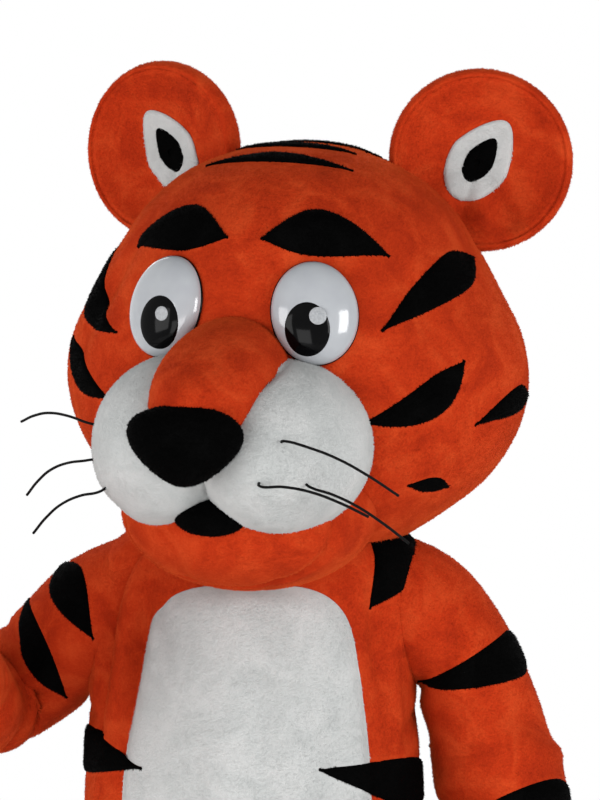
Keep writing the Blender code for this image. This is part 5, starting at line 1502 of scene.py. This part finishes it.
# %% [markdown]
# ## The pile
# A blade of pile is a single narrow triangle: two corners in the backing and one at the tip.
# All of a piece's blades are one mesh. Each blade leans down the body with a little chance in
# it, and takes its light from the cloth under it, so the nap shades as one soft surface. The
# blades stand closer on what the camera sees than on the back. The seed is fixed, so every
# run combs the same nap.

# %% Pile helpers
PILE_WIDTH = 0.0011
PILE_LEAN = (0.55, 0.80, 0.15)
PILE_ROOT = 0.0004
PILE_NEAR_MM2, PILE_HEAD_MM2, PILE_SLEEVE_MM2, PILE_BACK_MM2, PILE_FAR_MM2 = 3.4, 3.7, 4.2, 9.5, 10.5
COVER_REACH = 0.0036
COMB_BODY, COMB_HEAD = (0.0, 0.7, -1.0), (0.0, 1.0, -0.4)
HEAD_PIECES = ("head_", "cheek_", "crown_", "brow_", "stripe_head", "muzzle_", "bridge", "nose", "mouth", "jaw")
chance = np.random.default_rng(7)


def surface_tree(names):
    coords, triangles, start = [], [], 0
    for name in names:
        coords.extend(SURFACES[name].coords.tolist())
        triangles.extend((SURFACES[name].triangles + start).tolist())
        start = len(coords)
    return BVHTree.FromPolygons(coords, triangles)


def uncovered(points, tree):
    """Which points have no applied piece just above them."""
    if tree is None:
        return np.ones(len(points), bool)
    return np.array([tree.find_nearest(Vector(point), COVER_REACH)[0] is None for point in points])


def blades(surface, spacing_mm2, clear_of, applied, comb):
    """Roots, tips, half-widths and surface normals of blades spread evenly over a surface."""
    corners = surface.coords[surface.triangles]
    areas = 0.5 * np.linalg.norm(np.cross(corners[:, 1] - corners[:, 0], corners[:, 2] - corners[:, 0]), axis=1)
    count = int(areas.sum() * 1.0e6 / spacing_mm2)
    pick = chance.choice(len(areas), size=count, p=areas / areas.sum())
    weights = chance.dirichlet((1.0, 1.0, 1.0), size=count)
    roots = np.einsum("nk,nkj->nj", weights, corners[pick])
    normals = unit(np.einsum("nk,nkj->nj", weights, surface.normals[surface.triangles[pick]]))
    keep = outside_all(clear_of, roots, 0.0)
    keep &= uncovered(roots, applied)
    roots, normals = roots[keep], normals[keep]
    down = comb - normals * (normals @ comb)[:, None]
    stand, lie, stray = PILE_LEAN
    lean = unit(normals * stand + unit(down) * lie + chance.normal(size=roots.shape) * stray)
    across = unit(np.cross(lean, normals)) * 0.5 * PILE_WIDTH
    tips = roots + lean * (PILE_MM / 1000.0 * chance.uniform(0.75, 1.2, size=len(roots)))[:, None]
    return roots - normals * PILE_ROOT, tips, across, normals


def grow_pile(name, spacing_mm2, clear_of=(), applied=None):
    surface = SURFACES[name]
    comb = COMB_HEAD if name.startswith(HEAD_PIECES) else COMB_BODY
    roots, tips, across, normals = blades(surface, spacing_mm2, clear_of, applied, np.array(comb))
    count = len(roots)
    verts = np.stack([roots - across, roots + across, tips], axis=1).reshape(-1, 3)
    mesh = bpy.data.meshes.new(name + "_pile")
    mesh.vertices.add(3 * count)
    mesh.loops.add(3 * count)
    mesh.polygons.add(count)
    mesh.vertices.foreach_set("co", verts.ravel())
    mesh.loops.foreach_set("vertex_index", np.arange(3 * count))
    mesh.polygons.foreach_set("loop_start", np.arange(0, 3 * count, 3))
    mesh.update(calc_edges=True)
    blade_map = mesh.uv_layers.new(name="blade")
    blade_map.uv.foreach_set("vector", np.tile([0.0, 0.0, 1.0, 0.0, 0.5, 1.0], count))
    mesh.polygons.foreach_set("use_smooth", np.ones(count, bool))
    mesh.normals_split_custom_set(np.repeat(normals, 3, axis=0).tolist())
    return add_piece(name + "_pile", mesh, PILE[surface.finish])


# %% Comb the pile
def spacing_for(name):
    if name.startswith(("suit_back", "back_placket", "foot_", "tail_")):
        return PILE_BACK_MM2
    if name.startswith(("leg_", "stripe_leg", "stripe_back", "stripe_tail")):
        return PILE_FAR_MM2
    if name.startswith(("sleeve_", "paw_")):
        return PILE_SLEEVE_MM2
    if name.startswith(("head_", "ear_")):
        return PILE_HEAD_MM2
    return PILE_NEAR_MM2


def covers_of(name):
    """The forms that hide part of a piece, where no pile is wasted."""
    if name == "head_cover":
        return [torso_hull, *pad_hulls.values()]
    if name.endswith("_pad"):
        own = name.removesuffix("_pad")
        return [head_hull, *(tree for other, tree in pad_hulls.items() if other != own)]
    if name.startswith("suit_"):
        return [head_hull]
    return []


APPLIED = {}
for group in ("torso", "head", "sleeve_left", "sleeve_right", "leg_left", "leg_right", "tail"):
    laid = [s.name + "_plush" for s in (*STRIPES, *HIDDEN_STRIPES, *BROWS.values()) if s.skin == group]
    laid += [s.name + "_plush" for s in STRIPES if s.skin == "crown" and group == "head"]
    laid += ["belly_cloth"] if group == "torso" else []
    APPLIED[group] = surface_tree(laid)
for side in ("left", "right"):
    APPLIED["ear_" + side] = surface_tree([f"ear_{side}_patch"])
APPLIED["belly"] = surface_tree(["stripe_waist_left_plush", "stripe_waist_right_plush"])


def applied_on(name):
    """The tree of what is sewn on top of a piece."""
    if name in ("suit_front_cloth", "suit_back_left_cloth", "suit_back_right_cloth"):
        return APPLIED["torso"]
    for group, ending in (("belly", "_cloth"), ("head", "_cover"), ("ear_left", "_cover"), ("ear_right", "_cover"), ("tail", "_plush"),
                          ("sleeve_left", "_cloth"), ("sleeve_right", "_cloth"), ("leg_left", "_cloth"),
                          ("leg_right", "_cloth")):
        if name == group + ending:
            return APPLIED[group]
    return None


piles = {name: grow_pile(name, spacing_for(name), covers_of(name), applied_on(name)) for name in SURFACES}
blade_counts = {name: len(pile.data.polygons) for name, pile in piles.items()}
print("Blades:", sum(blade_counts.values()), "most on one piece:", max(blade_counts.values()))

# %% [markdown]
# ## Which solids each piece stands for
# Every piece rides on the one body, and the solids it stands for are hidden. The flat cloth
# that a sheet was cut from is measured on the grid and printed: its longest line each way and
# its area. The stuffed pieces are left out of that list.

# %% Ride and replace
for piece in (*eyes.values(), *rims.values(), *pupils.values(), *painted_highlights.values(), *soles.values(), *whiskers):
    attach(piece, "root")
for name, pile in piles.items():
    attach(bpy.data.objects[name], "root")
    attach(pile, "root")

STANDS_FOR = {
    "suit_front_cloth": ["suit_front"],
    "suit_back_left_cloth": ["suit_back_left"],
    "suit_back_right_cloth": ["suit_back_right"],
    "belly_cloth": ["belly_panel"],
    "back_placket_cloth": ["back_placket"],
    "head_cover": ["head_front", "head_back"],
    "tail_plush": ["tail"],
    "sleeve_right_cloth": ["sleeve_right"],
    "sleeve_left_cloth": ["sleeve_left_front", "sleeve_left_back"],
}
for side in ("left", "right"):
    STANDS_FOR.update({
        f"paw_{side}_mitt": [f"paw_{side}"],
        f"leg_{side}_cloth": [f"leg_{side}"],
        f"foot_{side}_cover": [f"foot_{side}"],
        f"sole_{side}_rubber": [f"sole_{side}"],
        f"ear_{side}_cover": [f"ear_back_{side}", f"ear_front_{side}"],
        f"ear_{side}_patch": [f"ear_patch_{side}"],
        f"ear_{side}_spot": [f"ear_spot_{side}"],
        f"eye_{side}_dome": [f"eye_{side}"],
        f"pupil_{side}_lens": [f"pupil_{side}"],
        f"brow_{side}_plush": [f"brow_{side}"],
    })
STANDS_FOR.update({name + "_pad": [name] for name in PAD_ORDER})
STANDS_FOR.update({stripe.name + "_plush": [stripe.name] for stripe in STRIPES})
STANDS_FOR.update({f"whisker_{number}_cord": [f"whisker_{number}"] for number in range(1, len(WHISKERS) + 1)})
for name, nodes in STANDS_FOR.items():
    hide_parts(*nodes)
print("Solids stood for:", sum(len(nodes) for nodes in STANDS_FOR.values()), "of", len(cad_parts))

# %% Sheets and padding
PADDED = {name + "_pad": 0.9 for name in PAD_ORDER}
PADDED.update({"ear_left_cover": 0.8, "ear_right_cover": 0.8, "tail_plush": 0.9, "brow_left_plush": 0.8,
               "brow_right_plush": 0.8})
for name, surface in SURFACES.items():
    piece = bpy.data.objects[name]
    if name in PADDED:
        continue
    width, length = surface.cut
    min(surface.area, width * length)
    print(f"{name}: {1000 * width:.0f} x {1000 * length:.0f} mm, {10000 * surface.area:.0f} cm2")
